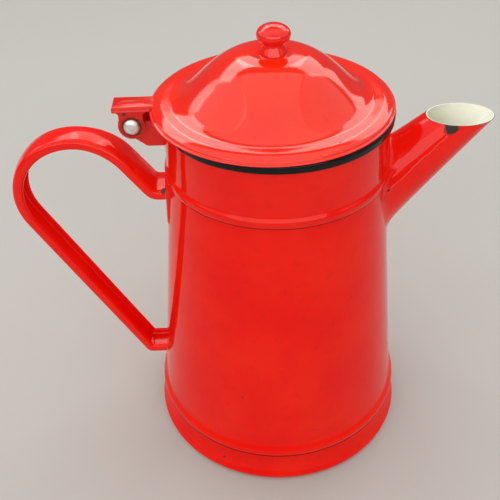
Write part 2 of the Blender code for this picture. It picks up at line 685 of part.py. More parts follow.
def make_lid_strap():
    """Pressed strap behind the lid: thumb lip, stiffening bead and two eared cheeks on the pin."""
    reach = STRAP_HALF_WIDTH + CUT_OVERRUN
    start = HINGE_X - STRAP_CHEEK_HALF_LENGTH - STRAP_LIP_LENGTH - CUT_OVERRUN
    end = -(LID_RADIUS + LID_SETBACK) + STRAP_ROOT_LENGTH + CUT_OVERRUN
    strap = extruded("lid_strap", [(start, y, z) for y, z in strap_section()],
                     Vector((end - start, 0, 0)), RED_ENAMEL_HINGE)
    side = extruded("strap_side_cutter", [(x, -reach, z) for x, z in strap_side()],
                    Vector((0, reach * 2, 0)), collection=CUTTERS)
    combine(strap, hide_cutter(side), "INTERSECT")
    bead_top = HINGE_Z + STRAP_TOP_CLEARANCE + STRAP_BEAD_PROUD
    half = STRAP_BEAD_LENGTH / 2 - STRAP_BEAD_RADIUS
    bead_line = arc((half, 0), STRAP_BEAD_RADIUS, -QUARTER_TURN, QUARTER_TURN, 4)
    bead_line += arc((-half, 0), STRAP_BEAD_RADIUS, QUARTER_TURN, QUARTER_TURN * 3, 4)
    rings = []
    for lift, spread in ((-STRAP_BEAD_PROUD * 1.5, 1.0), (-STRAP_BEAD_PROUD / 2, 0.9), (0, 0.55)):
        rings.append([(HINGE_X + x * spread, y * spread, bead_top + lift) for x, y in bead_line])
    combine(strap, hide_cutter(lofted("strap_bead", rings, collection=CUTTERS)), "UNION")
    hole = cylinder("strap_pin_cutter", PIN_RADIUS + PIN_PLAY, reach * 2, HINGE, ACROSS)
    combine(strap, hole, "DIFFERENCE")
    edge = [(0, DOME_TOP_HEIGHT)] + inset(lid_line(), -SEAT_GAP)
    edge[-1] = (edge[-1][0] + SEAT_GAP, edge[-1][1])
    edge.append((edge[-1][0], edge[-1][1] - CUT_OVERRUN))
    edge.append((0, edge[-1][1]))
    lid_shape = turned("strap_lid_cutter", edge, BODY_FACETS, closed=False, collection=CUTTERS)
    combine(strap, hide_cutter(move_to_lid(lid_shape)), "DIFFERENCE")
    return hang_on_hinge(smooth(strap))


def bracket_plan():
    """The bracket's bent sheet from above: a web on the neck and two cheeks, as (x, y) points."""
    outside = STRAP_HALF_WIDTH - THIN_SHEET - BRACKET_SIDE_PLAY
    end = HINGE_X - BRACKET_EAR_RADIUS - CUT_OVERRUN
    web = -(NECK_RADIUS + SEAT_GAP + BRACKET_SHEET)
    start = web + CUT_OVERRUN
    inside = outside - BRACKET_SHEET
    slot = arc((web - BRACKET_BEND_RADIUS, inside - BRACKET_BEND_RADIUS), BRACKET_BEND_RADIUS,
               QUARTER_TURN, 0, 2)
    upper = [(start, outside), (end, outside), (end, inside)] + slot
    return upper + [(x, -y) for x, y in reversed(upper)]


def bracket_side():
    """The bracket's outline seen from the side, as (x, z) points."""
    start = -NECK_RADIUS + CUT_OVERRUN
    top = RIM_BOTTOM_HEIGHT - SEAT_GAP - SEAT_GAP / 2
    low = HINGE_Z - BRACKET_FOOT_DROP
    web = -(NECK_RADIUS + SEAT_GAP + BRACKET_SHEET)
    shoulder = HINGE_X + (web - HINGE_X) * (1 - BRACKET_SHOULDER_SHARE)
    ear = arc((HINGE_X, HINGE_Z), BRACKET_EAR_RADIUS, QUARTER_TURN / 2, FULL_TURN - QUARTER_TURN, 10)
    side_x = HINGE_X + BRACKET_EAR_RADIUS
    return [(start, top), (side_x, top)] + ear + [(shoulder, low), (start, low)]


def make_hinge_bracket():
    """Folded bracket on the neck whose two ears carry the lid's pin."""
    low = HINGE_Z - BRACKET_FOOT_DROP - CUT_OVERRUN
    bracket = extruded("hinge_bracket", [(x, y, low) for x, y in bracket_plan()],
                       Vector((0, 0, CUT_OVERRUN * 4)), RED_ENAMEL_HINGE)
    side = extruded("bracket_side_cutter", [(x, -STRAP_HALF_WIDTH, z) for x, z in bracket_side()],
                    Vector((0, STRAP_HALF_WIDTH * 2, 0)), collection=CUTTERS)
    combine(bracket, hide_cutter(side), "INTERSECT")
    combine(bracket, body_cutter("bracket_seat_cutter", SEAT_GAP), "DIFFERENCE")
    hole = cylinder("bracket_pin_cutter", PIN_RADIUS + PIN_PLAY, STRAP_HALF_WIDTH * 4, HINGE, ACROSS)
    combine(bracket, hole, "DIFFERENCE")
    return smooth(bracket)


def make_hinge_pin():
    """Aluminium rivet through strap and bracket, with a domed head at each side."""
    seat = STRAP_HALF_WIDTH + SEAT_GAP
    head = []
    for x, z in arc((0, 0), 1, QUARTER_TURN, 0, 4):
        head.append((PIN_HEAD_RADIUS * x, seat + PIN_HEAD_HEIGHT * z))
    head[0] = (0, head[0][1])
    line = head + [(PIN_RADIUS, seat)]
    line += [(radius, -height) for radius, height in reversed(line)]
    pin = turned("hinge_rivet", line, SMALL_FACETS, ALUMINIUM, closed=False)
    pin.rotation_euler.x = math.pi / 2
    pin.location = HINGE
    return smooth(pin)


def handle_section(spread):
    """The handle's channel across its run, as (across, outward) points, splayed by spread."""
    half = HANDLE_HALF_WIDTH + spread
    flat = half - HANDLE_CORNER_RADIUS
    side = arc((flat, -HANDLE_CROWN - HANDLE_CORNER_RADIUS), HANDLE_CORNER_RADIUS,
               QUARTER_TURN, 0, 2)
    roll = HANDLE_ROLL_RADIUS + SHEET / 2
    side += arc((half - roll, roll - HANDLE_DEPTH), roll, 0, -QUARTER_TURN, 2)
    line = [(-across, out) for across, out in reversed(side)] + [(0, 0)] + side
    return sheet_outline(line, SHEET)


def handle_run(x, z, heading):
    """The bow's turn and the straight run after it that lead from a point to the lower heel."""
    side = math.radians(heading + QUARTER_TURN)
    bow = Vector((x, z)) + Vector((math.cos(side), math.sin(side))) * HANDLE_BOW_RADIUS
    wall = cone_radius(HANDLE_FOOT_HEIGHT)
    heel = Vector((-wall - HANDLE_HEEL_REACH, HANDLE_FOOT_HEIGHT + HANDLE_HEEL_RADIUS))
    across = heel - bow
    lean = math.asin((HANDLE_BOW_RADIUS - HANDLE_HEEL_RADIUS) / across.length)
    direction = math.degrees(math.atan2(across.y, across.x) + lean) + FULL_TURN
    return direction - heading, across.length * math.cos(lean)


def handle_path():
    """Stations (x, z, heading) along the handle's outer face, from its upper foot to its lower."""
    x = -cone_radius(HANDLE_TOP_HEIGHT)
    z = HANDLE_TOP_HEIGHT
    heading = HALF_TURN
    stations = [(x + CUT_OVERRUN, z, heading)]

    def run(length):
        nonlocal x, z
        x += length * math.cos(math.radians(heading))
        z += length * math.sin(math.radians(heading))
        stations.append((x, z, heading))

    def bend(radius, turn, steps):
        nonlocal heading
        step = turn / steps
        chord = 2 * radius * math.sin(math.radians(abs(step) / 2))
        for _ in range(steps):
            heading += step / 2
            run(chord)
            heading += step / 2
            stations[-1] = (x, z, heading)

    run(SADDLE_SHEET + HANDLE_FOOT_RUN)
    bend(HANDLE_FOOT_BEND, HANDLE_RISE_ANGLE - HALF_TURN, HANDLE_BEND_STEPS)
    run(HANDLE_RISE_LENGTH)
    turn, length = handle_run(x, z, heading)
    bend(HANDLE_BOW_RADIUS, turn, HANDLE_BOW_STEPS)
    run(length)
    bend(HANDLE_HEEL_RADIUS, FULL_TURN - heading, HANDLE_BEND_STEPS)
    run(-cone_radius(z) - x + CUT_OVERRUN)
    return stations


def make_handle():
    """Pressed channel with rolled edges, bowed out from the saddle and back to the wall."""
    stations = handle_path()
    rings = []
    distance = 0
    middle = Vector((stations[0][0], 0, stations[0][1]))
    for x, z, heading in stations:
        distance += (Vector((x, 0, z)) - middle).length
        middle = Vector((x, 0, z))
        outward = Vector((math.sin(math.radians(heading)), 0, -math.cos(math.radians(heading))))
        share = min(distance / HANDLE_SPREAD_RUN, 1) ** HANDLE_SPREAD_POWER
        spread = HANDLE_FOOT_SPREAD * (1 + math.cos(math.pi * share)) / 2
        rings.append([middle + ACROSS * across + outward * out
                      for across, out in handle_section(spread)])
    handle = lofted("handle", rings, RED_ENAMEL_HANDLE)
    combine(handle, saddle_cutter("handle_top_cutter", SEAT_GAP * 2), "DIFFERENCE")
    combine(handle, body_cutter("handle_foot_cutter", SEAT_GAP), "DIFFERENCE")
    return smooth(handle)


def make_handle_saddle():
    """Curved plate on the wall that spreads the handle's pull at its upper end."""
    top = SADDLE_TOP_HEIGHT
    low = top - SADDLE_HEIGHT
    corner = SADDLE_CORNER_RADIUS
    side = SADDLE_HALF_WIDTH - corner
    outline = arc((side, top - corner), corner, 0, QUARTER_TURN, 3)
    outline += arc((-side, top - corner), corner, QUARTER_TURN, HALF_TURN, 3)
    outline += arc((-side, low + corner), corner, HALF_TURN, QUARTER_TURN * 3, 3)
    outline += arc((side, low + corner), corner, QUARTER_TURN * 3, FULL_TURN, 3)
    start = -cone_radius(low) - CUT_OVERRUN
    saddle = extruded("handle_saddle", [(start, y, z) for y, z in outline],
                      Vector((CUT_OVERRUN * 3, 0, 0)), RED_ENAMEL)
    combine(saddle, saddle_cutter("saddle_outer_cutter", SEAT_GAP), "INTERSECT")
    combine(saddle, body_cutter("saddle_seat_cutter", SEAT_GAP), "DIFFERENCE")
    return smooth(saddle)


def saddle_cutter(name, clearance):
    """A cone of the saddle's outer face, grown by a clearance."""
    high = SADDLE_TOP_HEIGHT
    low = high - SADDLE_HEIGHT
    face = [(cone_radius(high) + SADDLE_SHEET, high), (cone_radius(low) + SADDLE_LOW_SHEET, low)]
    slope = (face[1][0] - face[0][0]) / SADDLE_HEIGHT
    line = [(radius + clearance, height) for radius, height in face]
    line[0] = (line[0][0] - slope * CUT_OVERRUN, high + CUT_OVERRUN)
    line[1] = (line[1][0] + slope * CUT_OVERRUN, low - CUT_OVERRUN)
    outline = [(0, line[0][1])] + line + [(0, line[1][1])]
    return hide_cutter(turned(name, outline, BODY_FACETS, closed=False, collection=CUTTERS))


LID_PIVOT = bpy.data.objects.new("lid_pivot", None)
PARTS.objects.link(LID_PIVOT)
LID_PIVOT.location = HINGE

make_base_pan()
make_body_wall()
make_neck_band()
make_spout()
make_handle_saddle()
make_handle()
make_hinge_bracket()
make_hinge_pin()
make_lid()
make_lid_ring()
make_lid_strap()
make_knob()
make_knob_rivet()
bpy.context.view_layer.update()
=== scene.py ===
"""Red enamelled coffee pot: smooth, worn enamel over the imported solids, floor, lamps and camera.

Lengths are in metres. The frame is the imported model's: origin at the centre of the base,
+Z up, the spout towards +X, the handle and the lid's hinge at -X.
"""
import math

import bmesh
import bpy
from mathutils import Matrix, Vector


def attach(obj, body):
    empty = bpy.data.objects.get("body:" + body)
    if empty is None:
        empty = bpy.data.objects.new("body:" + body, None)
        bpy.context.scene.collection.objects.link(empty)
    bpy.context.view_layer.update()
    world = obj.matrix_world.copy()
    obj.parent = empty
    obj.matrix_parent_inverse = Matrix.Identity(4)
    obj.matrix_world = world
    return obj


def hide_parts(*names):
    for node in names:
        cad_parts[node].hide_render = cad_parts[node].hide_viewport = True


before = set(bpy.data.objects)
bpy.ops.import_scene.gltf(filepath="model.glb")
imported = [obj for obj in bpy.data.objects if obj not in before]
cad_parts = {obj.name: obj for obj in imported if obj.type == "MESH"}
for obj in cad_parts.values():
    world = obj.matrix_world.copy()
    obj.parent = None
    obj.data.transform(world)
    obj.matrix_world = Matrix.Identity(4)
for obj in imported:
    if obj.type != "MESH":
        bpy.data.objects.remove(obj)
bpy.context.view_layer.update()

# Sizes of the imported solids, some of them refined a little for the smooth shapes
SHEET = 0.0011
THIN_SHEET = 0.0010
GAP = 0.0003
WIDE_GAP = GAP * 1.5
WALL_FOOT_RADIUS = 0.0614
WALL_TOP_RADIUS = 0.0492
WALL_FOOT_HEIGHT = 0.0240
LAP_HEIGHT = 0.0165  # lower edge of the wall over the base
NECK_LAP_HEIGHT = 0.1490  # lower edge of the neck over the wall
BASE_FLARE = 0.0036
BASE_HEEL_RADIUS = 0.0030
BASE_COLLAR_HEIGHT = 0.0042
BASE_SKIRT_POWER = 1.9  # the higher, the later the skirt flares
NECK_RADIUS = 0.0496
NECK_BEAD_PROUD = 0.0012
NECK_BEAD_HEIGHT = 0.0058
RIM_BOTTOM = 0.1760
RIM_TOP = 0.1797
RIM_RADIUS = 0.0510
RIM_ROLL = 0.0011
SPOUT_ROOT = Vector((0.0500882, 0, 0.1399))
SPOUT_REACH = 0.0320
SPOUT_RISE = 0.0317
SPOUT_ROOT_RADIUS = 0.0153
SPOUT_MOUTH_RADIUS = 0.0104
SPOUT_ROOT_SWELL = 0.0003
SPOUT_SWELL_FADE = 3  # the swell has faded a third of the way up
MOUTH_SHEET = 0.0005  # the spout's sheet thins towards its mouth
FLANGE_WIDTH = 0.0040
FLANGE_DROP = 0.0020
FLANGE_HALF_HEIGHT = 0.0234
FLANGE_SHEET = 0.0007
STRAINER_HOLE_RADIUS = 0.0018
STRAINER_PITCH = 0.0066
STRAINER_ROWS = (4, 5, 4)
STRAINER_ROW_SHARE = 0.866
STRAINER_HEIGHT = 0.1304
STRAINER_DRILL = 0.012  # length of the drills that make the holes

# The lid's profile, fitted to the photograph
LID_X = -0.0020
LID_RADIUS = 0.0527
LID_EDGE_HEIGHT = 0.1802  # lowest line of the lid's turned edge
BRIM_RING_HEIGHT = 0.1836  # the level ring round the dome
BRIM_RING_RADIUS = 0.0465  # it starts to fall here
BRIM_FOLD_RADIUS = 0.0512  # and folds down here
BRIM_FALL = 0.0013
BRIM_FOLD_ROUND = 0.0010
DOME_RADIUS = 0.0442
DOME_HEIGHT = 0.0199
DOME_POWER = 1.72
DOME_OVER_SEAT = 0.0005  # the dome rises this far past the knob's seat at most
LID_RING_RADIUS = 0.0453
LID_RING_FLANGE = 0.0026
LID_RING_FOOT = 0.1736
KNOB_X = -0.0011
KNOB_SEAT_HEIGHT = 0.2030
STUD_HEAD_RADIUS = 0.0036
STUD_HEAD_HEIGHT = 0.0015
KNOB_SEAT_RADIUS = 0.0076
KNOB_RADIUS = 0.0072
KNOB_BALL_HEIGHT = 0.0087
KNOB_HEIGHT = 0.0119
KNOB_WAIST_RADIUS = 0.0046
KNOB_FOOT_RADIUS = 0.0060
# Down the knob's foot: share of its height, share of the way from waist to foot radius
KNOB_FOOT_PROFILE = ((0.90, -0.08), (0.80, -0.04), (0.64, 0.16), (0.46, 0.40),
                     (0.28, 0.66), (0.12, 0.88), (0.0, 1.0))

# Hinge, strap and bracket
HINGE = Vector((-0.0624, 0, 0.1740))
PIN_SEAT = 0.0068
PIN_RADIUS = 0.0016
PIN_HEAD_RADIUS = 0.0036
PIN_HEAD_HEIGHT = 0.0017
STRAP_HALF_WIDTH = 0.0065
STRAP_BEND = 0.0024
STRAP_TOP = 0.0085  # the strap's upper face above the rivet's axis
STRAP_EAR = 0.0059
STRAP_CHEEK = 0.0052
STRAP_LIP = 0.0029
STRAP_LIP_DROP = 0.0019
STRAP_ROOT = 0.0024
STRAP_BEAD_LENGTH = 0.0088
STRAP_BEAD_HALF_WIDTH = 0.0014
STRAP_BEAD_PROUD = 0.0007
STRAP_BEAD_SHIFT = 0.0004  # the bead's middle lies this far left of the rivet
STRAP_BEAD_SINK = 0.00004
STRAP_EDGE_ROUND = 0.00028
BRACKET_EAR = 0.0061
BRACKET_PLAY = 0.00035
BRACKET_BLOCK_HEIGHT = 0.026
BRACKET_FOOT_DROP = 0.0105
BRACKET_SHOULDER = 0.55  # the lower edge slopes over this share of the way to the neck
BRACKET_EDGE_ROUND = 0.00025
BRACKET_SINK = 0.0001  # its foot reaches this far into the neck's skin
CUT_MARGIN = 0.006  # cutting shapes reach this far past what they cut
CUT_REACH = 0.020  # half the length of a block at the hinge before it is cut
CORE_DEPTH = 0.035  # the neck's form is cut from the bracket this far down
LID_CUT_HEIGHT = 0.030  # the lid's form is cut from the strap, rough over its dome
LID_CUT_INSET = 0.002
HINGE_BAR_LENGTH = 0.030

# Handle and saddle
HANDLE_TOP_HEIGHT = 0.1422
HANDLE_FOOT_HEIGHT = 0.0357
HANDLE_HALF_WIDTH = 0.0074
HANDLE_DEPTH = 0.0054
HANDLE_CORNER = 0.0022
HANDLE_ROLL = 0.0010
HANDLE_CROWN = 0.0005
HANDLE_FOOT_RUN = 0.0015
HANDLE_FOOT_BEND = 0.0040
HANDLE_RISE_ANGLE = 126.0
HANDLE_RISE_LENGTH = 0.0153
HANDLE_BOW_RADIUS = 0.0310
HANDLE_HEEL_RADIUS = 0.0045
HANDLE_HEEL_REACH = 0.0072
HANDLE_FOOT_SPREAD = 0.0018
HANDLE_SPREAD_RUN = 0.050
HANDLE_SPREAD_POWER = 1.8
HANDLE_TOP_GAP = GAP * 0.3  # the gaps left open at its feet
HANDLE_FOOT_GAP = GAP * 0.5
SADDLE_SHEET = 0.0019
SADDLE_LOW_SHEET = 0.0006
SADDLE_HALF_WIDTH = 0.0105
SADDLE_HEIGHT = 0.0262
SADDLE_CORNER = 0.0050
SADDLE_TOP = 0.1482
SADDLE_SHARES = (0.04, 0.4, 0.7, 0.84, 0.91, 0.96, 0.99, 1.0)  # rings, middle to edge
SADDLE_FEATHER = 0.84  # its face falls to the wall from this share outwards
SADDLE_SINK = 0.00005
SADDLE_BACK = 0.0003

# Soft forms of the fired enamel over the sheet's folds
BEAD_FLARE_SHARE = 0.46  # the neck's bead reaches its full width at this share of its height
BEAD_TUCK_SHARE = 0.62  # and turns back in below this share
BEAD_TUCK = 0.55
BEAD_DRAWN_SHARE = 0.95  # its sheet ends at this share
WALL_HIDDEN_SHARE = 0.55  # the wall goes on up behind it over this share of its height
CREASE_STEPS = 3  # last steps of a lap's outline, in its crease, painted dark as shade
LAP_SHADE = 0.0004  # painted shade in the crease under a lap is this tall
LIP_FLARE = 0.0016  # the wall's lower lip stands out past the cone by this much
LIP_TUCK = 0.0005
LIP_FLARE_SHARE = 0.62  # it has flared at this share of its height
LIP_TUCK_SHARE = 0.72  # and turns back in below this share
FOOT_CREASE = 0.0020  # radius of the tight crease over the handle's upper foot
MOUTH_ROUND = 0.6  # the mouth's lip stands up by this share of its half thickness
FLANGE_SINK = 0.00003
FLANGE_BURY = 0.0002  # the flange's hidden edge lies this far inside the wall
BLEND_PASSES = 26  # rounds of smoothing between spout and flange
BLEND_START = 12  # first point of the side line that they move
SEAM_OFFSET = 0.0038  # the spout's seam lines lie this far over its middle
SEAM_WIDTH = 0.0007
SEAM_WANDER = 0.0022

# Fineness of the smooth shapes
TURN_STEPS = 192
SMALL_STEPS = 64
SPOUT_STEPS = 120
BEVEL_STEPS = 3
SHARP_ANGLE = math.radians(38)
BEVEL_SHARP_ANGLE = math.radians(50)
FLAT_ANGLE = 0.02  # faces that differ by less are joined before they are rounded
WELD_DISTANCE = 0.000002
ON_AXIS = 1e-9  # a smaller radius is a point on the axis
SEARCH_ROUNDS = 40
SEARCH_BACK = 0.03  # the search for the wall starts this far behind the spout's root
EDGE_STEPS = 5  # faces round a sheet's edge
LID_EDGE_STEPS = 8

# Grain of the materials: scales in waves per metre, depths in metres
CLOUD_SCALE = 26.0
MOTTLE_SCALE = 240.0
PINHOLE_SCALE = 105.0
CHIP_EDGE_SCALE = 900.0
IRON_SCALE = 1400.0
GLOSS_SCALE = 60.0
WAVE_SCALE = 48.0
PEEL_SCALE = 330.0
SEAM_SCALE = 150.0
PEEL_DEPTH = 0.000022
SEAM_DEPTH = 0.00022
CHIP_DEPTH = 0.00035
BAND_SWAY_SCALE = 38.0
BAND_SWAY = 0.0011
BAND_EDGE = 0.0004
ENAMEL_IOR = 1.46
METAL_CLOUD_SCALE = 420.0
DENT_SCALE = 900.0
DENT_DEPTH = 0.00012
CHIP_WANDER = 0.9  # how far noise moves a chip's edge, in shares of its radius
CHIP_ROUGHNESS = 0.45
MOTTLE_SHARE = 0.30

# Colours
BLACK = (0.004, 0.004, 0.005)
RED_DARK = (0.58, 0.005, 0.003)
REDS = ((0.90, 0.0065, 0.003), (0.95, 0.014, 0.003), RED_DARK)
# Darkest and lightest colours of what a chip shows
IRON = ((0.020, 0.014, 0.013), (0.13, 0.10, 0.085))
RUST = ((0.050, 0.012, 0.006), (0.20, 0.045, 0.018))
PITCH = ((0.006, 0.005, 0.005), (0.05, 0.042, 0.030))
# Chips as (x, y, z, radius)
WALL_CHIPS = ((-0.0515, -0.0072, 0.1311, 0.0009), (-0.0480, -0.0130, 0.1385, 0.0006),
              (0.0477, -0.0134, 0.1614, 0.0006), (-0.0299, -0.0551, 0.0074, 0.0006))

# Floor, lamps and camera
FLOOR_REACH = 3.0
FLOOR_TONES = ((0.49, 0.49, 0.485), (0.52, 0.52, 0.515))
FLOOR_ROUGHNESS = 0.8
FLOOR_CLOUD_SCALE = 3.0
FLOOR_GRAIN_SCALE = 700.0
FLOOR_GRAIN_DEPTH = 0.0001
AIM = Vector((0, 0, 0.12))  # the lamps face this point
LAMP_DISTANCE = 1.25
LAMP_COLOUR = (1.0, 0.96, 0.88)
SKY_COLOUR = (0.92, 0.95, 1.0, 1.0)
SKY_STRENGTH = 0.15
ELEVATION = math.radians(38.67)
ROLL = math.radians(-1.82)
CAMERA_PLACE = (-0.0134, -0.2949, 0.3352)
SENSOR_WIDTH = 36.0  # in millimetres, as is the lens
LENS = 54.72


def cone_radius(height):
    """Outer radius of the conical wall at a height."""
    share = (height - WALL_FOOT_HEIGHT) / (NECK_LAP_HEIGHT - WALL_FOOT_HEIGHT)
    return WALL_FOOT_RADIUS + (WALL_TOP_RADIUS - WALL_FOOT_RADIUS) * share


def skin_radius(height):
    """Outer radius of wall and neck together, its bead included."""
    if height <= NECK_LAP_HEIGHT:
        return cone_radius(height)
    share = min(max((NECK_LAP_HEIGHT + NECK_BEAD_HEIGHT - height) / NECK_BEAD_HEIGHT, 0), 1)
    flare = min(share / BEAD_FLARE_SHARE, 1)
    tuck = max(share - BEAD_TUCK_SHARE, 0) / (1 - BEAD_TUCK_SHARE)
    swell = (1 - math.cos(math.pi * flare)) / 2 - BEAD_TUCK * tuck ** 2
    return NECK_RADIUS + NECK_BEAD_PROUD * swell


def reach_at(radius, y):
    """How far a circle of this radius reaches along X at a y."""
    return math.sqrt(radius ** 2 - y ** 2)


def shares(steps, first=1):
    """The shares first / steps, (first + 1) / steps and so on up to 1."""
    return [step / steps for step in range(first, steps + 1)]


def arc(centre, radius, start, end, steps):
    """Points on an arc, in degrees counter-clockwise from the first axis."""
    points = []
    for share in shares(steps, 0):
        angle = math.radians(start + (end - start) * share)
        points.append((centre[0] + radius * math.cos(angle), centre[1] + radius * math.sin(angle)))
    return points


def inset(line, depth):
    """The line moved by depth to the right of its travel."""
    points = [Vector(point) for point in line]
    sides = []
    for first, second in zip(points, points[1:]):
        along = (second - first).normalized()
        sides.append(Vector((along.y, -along.x)))
    moved = []
    for index, point in enumerate(points):
        before = sides[max(index - 1, 0)]
        after = sides[min(index, len(sides) - 1)]
        moved.append(tuple(point + (before + after) / (1 + before.dot(after)) * depth))
    return moved


def round_end(first, last, steps=EDGE_STEPS):
    """Points of a half-round sheet edge from one corner to the other, without the corners."""
    first, last = Vector(first), Vector(last)
    middle = (first + last) / 2
    side = first - middle
    ahead = Vector((-side.y, side.x))
    points = []
    for share in shares(steps)[:-1]:
        angle = math.pi * share
        points.append(tuple(middle + side * math.cos(angle) + ahead * math.sin(angle)))
    return points


def finish_mesh(name, shape, materials):
    """An object from the shape, smooth shaded with creases where it turns sharply."""
    mesh = bpy.data.meshes.new(name)
    bmesh.ops.recalc_face_normals(shape, faces=shape.faces)
    shape.to_mesh(mesh)
    shape.free()
    item = bpy.data.objects.new(name, mesh)
    bpy.context.scene.collection.objects.link(item)
    for material in materials:
        mesh.materials.append(material)
    mesh.shade_smooth()
    mesh.set_sharp_from_angle(angle=SHARP_ANGLE)
    return item


def turned(name, outline, materials, pick=None, steps=TURN_STEPS, shift=0):
    """A solid of revolution of (radius, height) points, in a ring or between two axis points.

    pick gives a face's material by its middle height and its place along the outline.
    """
    closed = outline[0][0] > ON_AXIS
    shape = bmesh.new()
    rows = []
    for radius, height in outline:
        if radius < ON_AXIS:
            rows.append([shape.verts.new((shift, 0, height))])
            continue
        row = []
        for step in range(steps):
            angle = 2 * math.pi * step / steps
            row.append(shape.verts.new((shift + radius * math.cos(angle),
                                        radius * math.sin(angle), height)))
        rows.append(row)
    pairs = list(zip(rows, rows[1:]))
    if closed:
        pairs.append((rows[-1], rows[0]))
    for index, (upper, lower) in enumerate(pairs):
        height = (outline[index][1] + outline[(index + 1) % len(outline)][1]) / 2
        for step in range(steps):
            after = (step + 1) % steps
            if len(upper) == 1:
                corners = (upper[0], lower[after], lower[step])
            elif len(lower) == 1:
                corners = (upper[step], upper[after], lower[0])
            else:
                corners = (upper[step], upper[after], lower[after], lower[step])
            face = shape.faces.new(corners)
            if pick:
                face.material_index = pick(height, index)
    return finish_mesh(name, shape, materials)


def add_bar(shape, place, radius, length, sides):
    """Add a round bar along the Z axis of a placement to the shape."""
    bmesh.ops.create_cone(shape, cap_ends=True, segments=sides, radius1=radius, radius2=radius,
                          depth=length, matrix=place)


def skinned(name, rings, materials, pick=None, caps=True, loop=False):
    """A surface through closed rings of points; the rings may close in a loop.

    pick gives a face's material by its place along the ring.
    """
    shape = bmesh.new()
    rows = [[shape.verts.new(point) for point in ring] for ring in rings]
    pairs = list(zip(rows, rows[1:]))
    if loop:
        pairs.append((rows[-1], rows[0]))
    count = len(rows[0])
    for lower, upper in pairs:
        for index in range(count):
            after = (index + 1) % count
            face = shape.faces.new((lower[index], lower[after], upper[after], upper[index]))
            if pick:
                face.material_index = pick(index)
    if caps and not loop:
        shape.faces.new(rows[0][::-1])
        shape.faces.new(rows[-1])
    return finish_mesh(name, shape, materials)


def stand_for(item, body, slot, *nodes):
    """The piece replaces CAD nodes and moves with their body; the slot argument is not used."""
    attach(item, body)
    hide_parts(*nodes)


class Shader:
    """A material's node tree with short ways to add and join nodes."""

    def __init__(self, name):
        self.material = bpy.data.materials.new(name)
        self.material.use_nodes = True
        self.tree = self.material.node_tree
        self.surface = self.tree.nodes["Principled BSDF"]
        self.place = self.add("ShaderNodeTexCoord").outputs["Object"]

    def add(self, kind, **settings):
        """A new node with its properties set."""
        made = self.tree.nodes.new(kind)
        for key, value in settings.items():
            setattr(made, key, value)
        return made

    def feed(self, socket, value):
        """Join an output to a socket, or set the socket's own value."""
        if isinstance(value, bpy.types.NodeSocket):
            self.tree.links.new(value, socket)
        else:
            socket.default_value = value

    def fill(self, node, **values):
        """Feed a node's sockets by their names."""
        for name, value in values.items():
            self.feed(node.inputs[name], value)

    def paint(self, name, value):
        """Feed the surface's socket of this name."""
        self.feed(self.surface.inputs[name], value)

    def math(self, operation, first, second=0.0, clamp=False):
        """One sum on numbers or outputs."""
        made = self.add("ShaderNodeMath", operation=operation, use_clamp=clamp)
        for socket, value in zip(made.inputs, (first, second)):
            self.feed(socket, value)
        return made.outputs[0]

    def noise(self, scale, detail=2.0, roughness=0.5):
        """Noise between 0 and 1, with its scale in waves per metre."""
        made = self.add("ShaderNodeTexNoise")
        self.fill(made, Vector=self.place, Scale=scale, Detail=detail, Roughness=roughness)
        return made.outputs["Fac"]

    def ramp(self, value, low, high, start=0.0, end=1.0, smooth=True):
        """The value carried from low..high to start..end, held at both ends."""
        made = self.add("ShaderNodeMapRange")
        made.interpolation_type = "SMOOTHSTEP" if smooth else "LINEAR"
        for socket, number in zip(made.inputs, (value, low, high, start, end)):
            self.feed(socket, number)
        return made.outputs[0]

    def mix(self, share, first, second):
        """A blend of two colours."""
        made = self.add("ShaderNodeMix", data_type="RGBA")
        self.feed(made.inputs[0], share)
        for socket, value in zip((made.inputs[6], made.inputs[7]), (first, second)):
            self.feed(socket, value if isinstance(value, bpy.types.NodeSocket) else (*value, 1.0))
        return made.outputs[2]

    def bump(self, height, distance, strength=1.0, under=None):
        """A bumped normal of a height in shares of distance."""
        made = self.add("ShaderNodeBump")
        self.fill(made, Strength=strength, Distance=distance, Height=height)
        if under:
            self.fill(made, Normal=under)
        return made.outputs["Normal"]

    def spots(self, places):
        """1 inside any of the spots (x, y, z, radius), and 0 past its edge."""
        wander = self.noise(CHIP_EDGE_SCALE, 3.0, 0.6)
        total = None
        for x, y, z, radius in places:
            gap = self.add("ShaderNodeVectorMath", operation="DISTANCE")
            self.feed(gap.inputs[0], self.place)
            self.feed(gap.inputs[1], (x, y, z))
            near = self.math("DIVIDE", gap.outputs["Value"], radius)
            near = self.math("ADD", near, self.math("MULTIPLY", wander, CHIP_WANDER))
            inside = self.ramp(near, 1.62, 1.20)
            total = inside if total is None else self.math("MAXIMUM", total, inside)
        return total


def seam_line(shader):
    """Height of the wavy seam lines that run up both flanks of the spout."""
    over = Vector((-SPOUT_RISE, 0, SPOUT_REACH)).normalized()
    lift = shader.add("ShaderNodeVectorMath", operation="DOT_PRODUCT")
    shader.feed(lift.inputs[0], shader.place)
    shader.feed(lift.inputs[1], over)
    start = over.dot(SPOUT_ROOT) + SEAM_OFFSET
    drift = shader.math("MULTIPLY", shader.noise(SEAM_SCALE, 2.0), SEAM_WANDER)
    gap = shader.math("SUBTRACT", shader.math("ADD", lift.outputs["Value"], drift), start)
    return shader.ramp(shader.math("ABSOLUTE", gap), 0.0, SEAM_WIDTH, 1.0, 0.0)


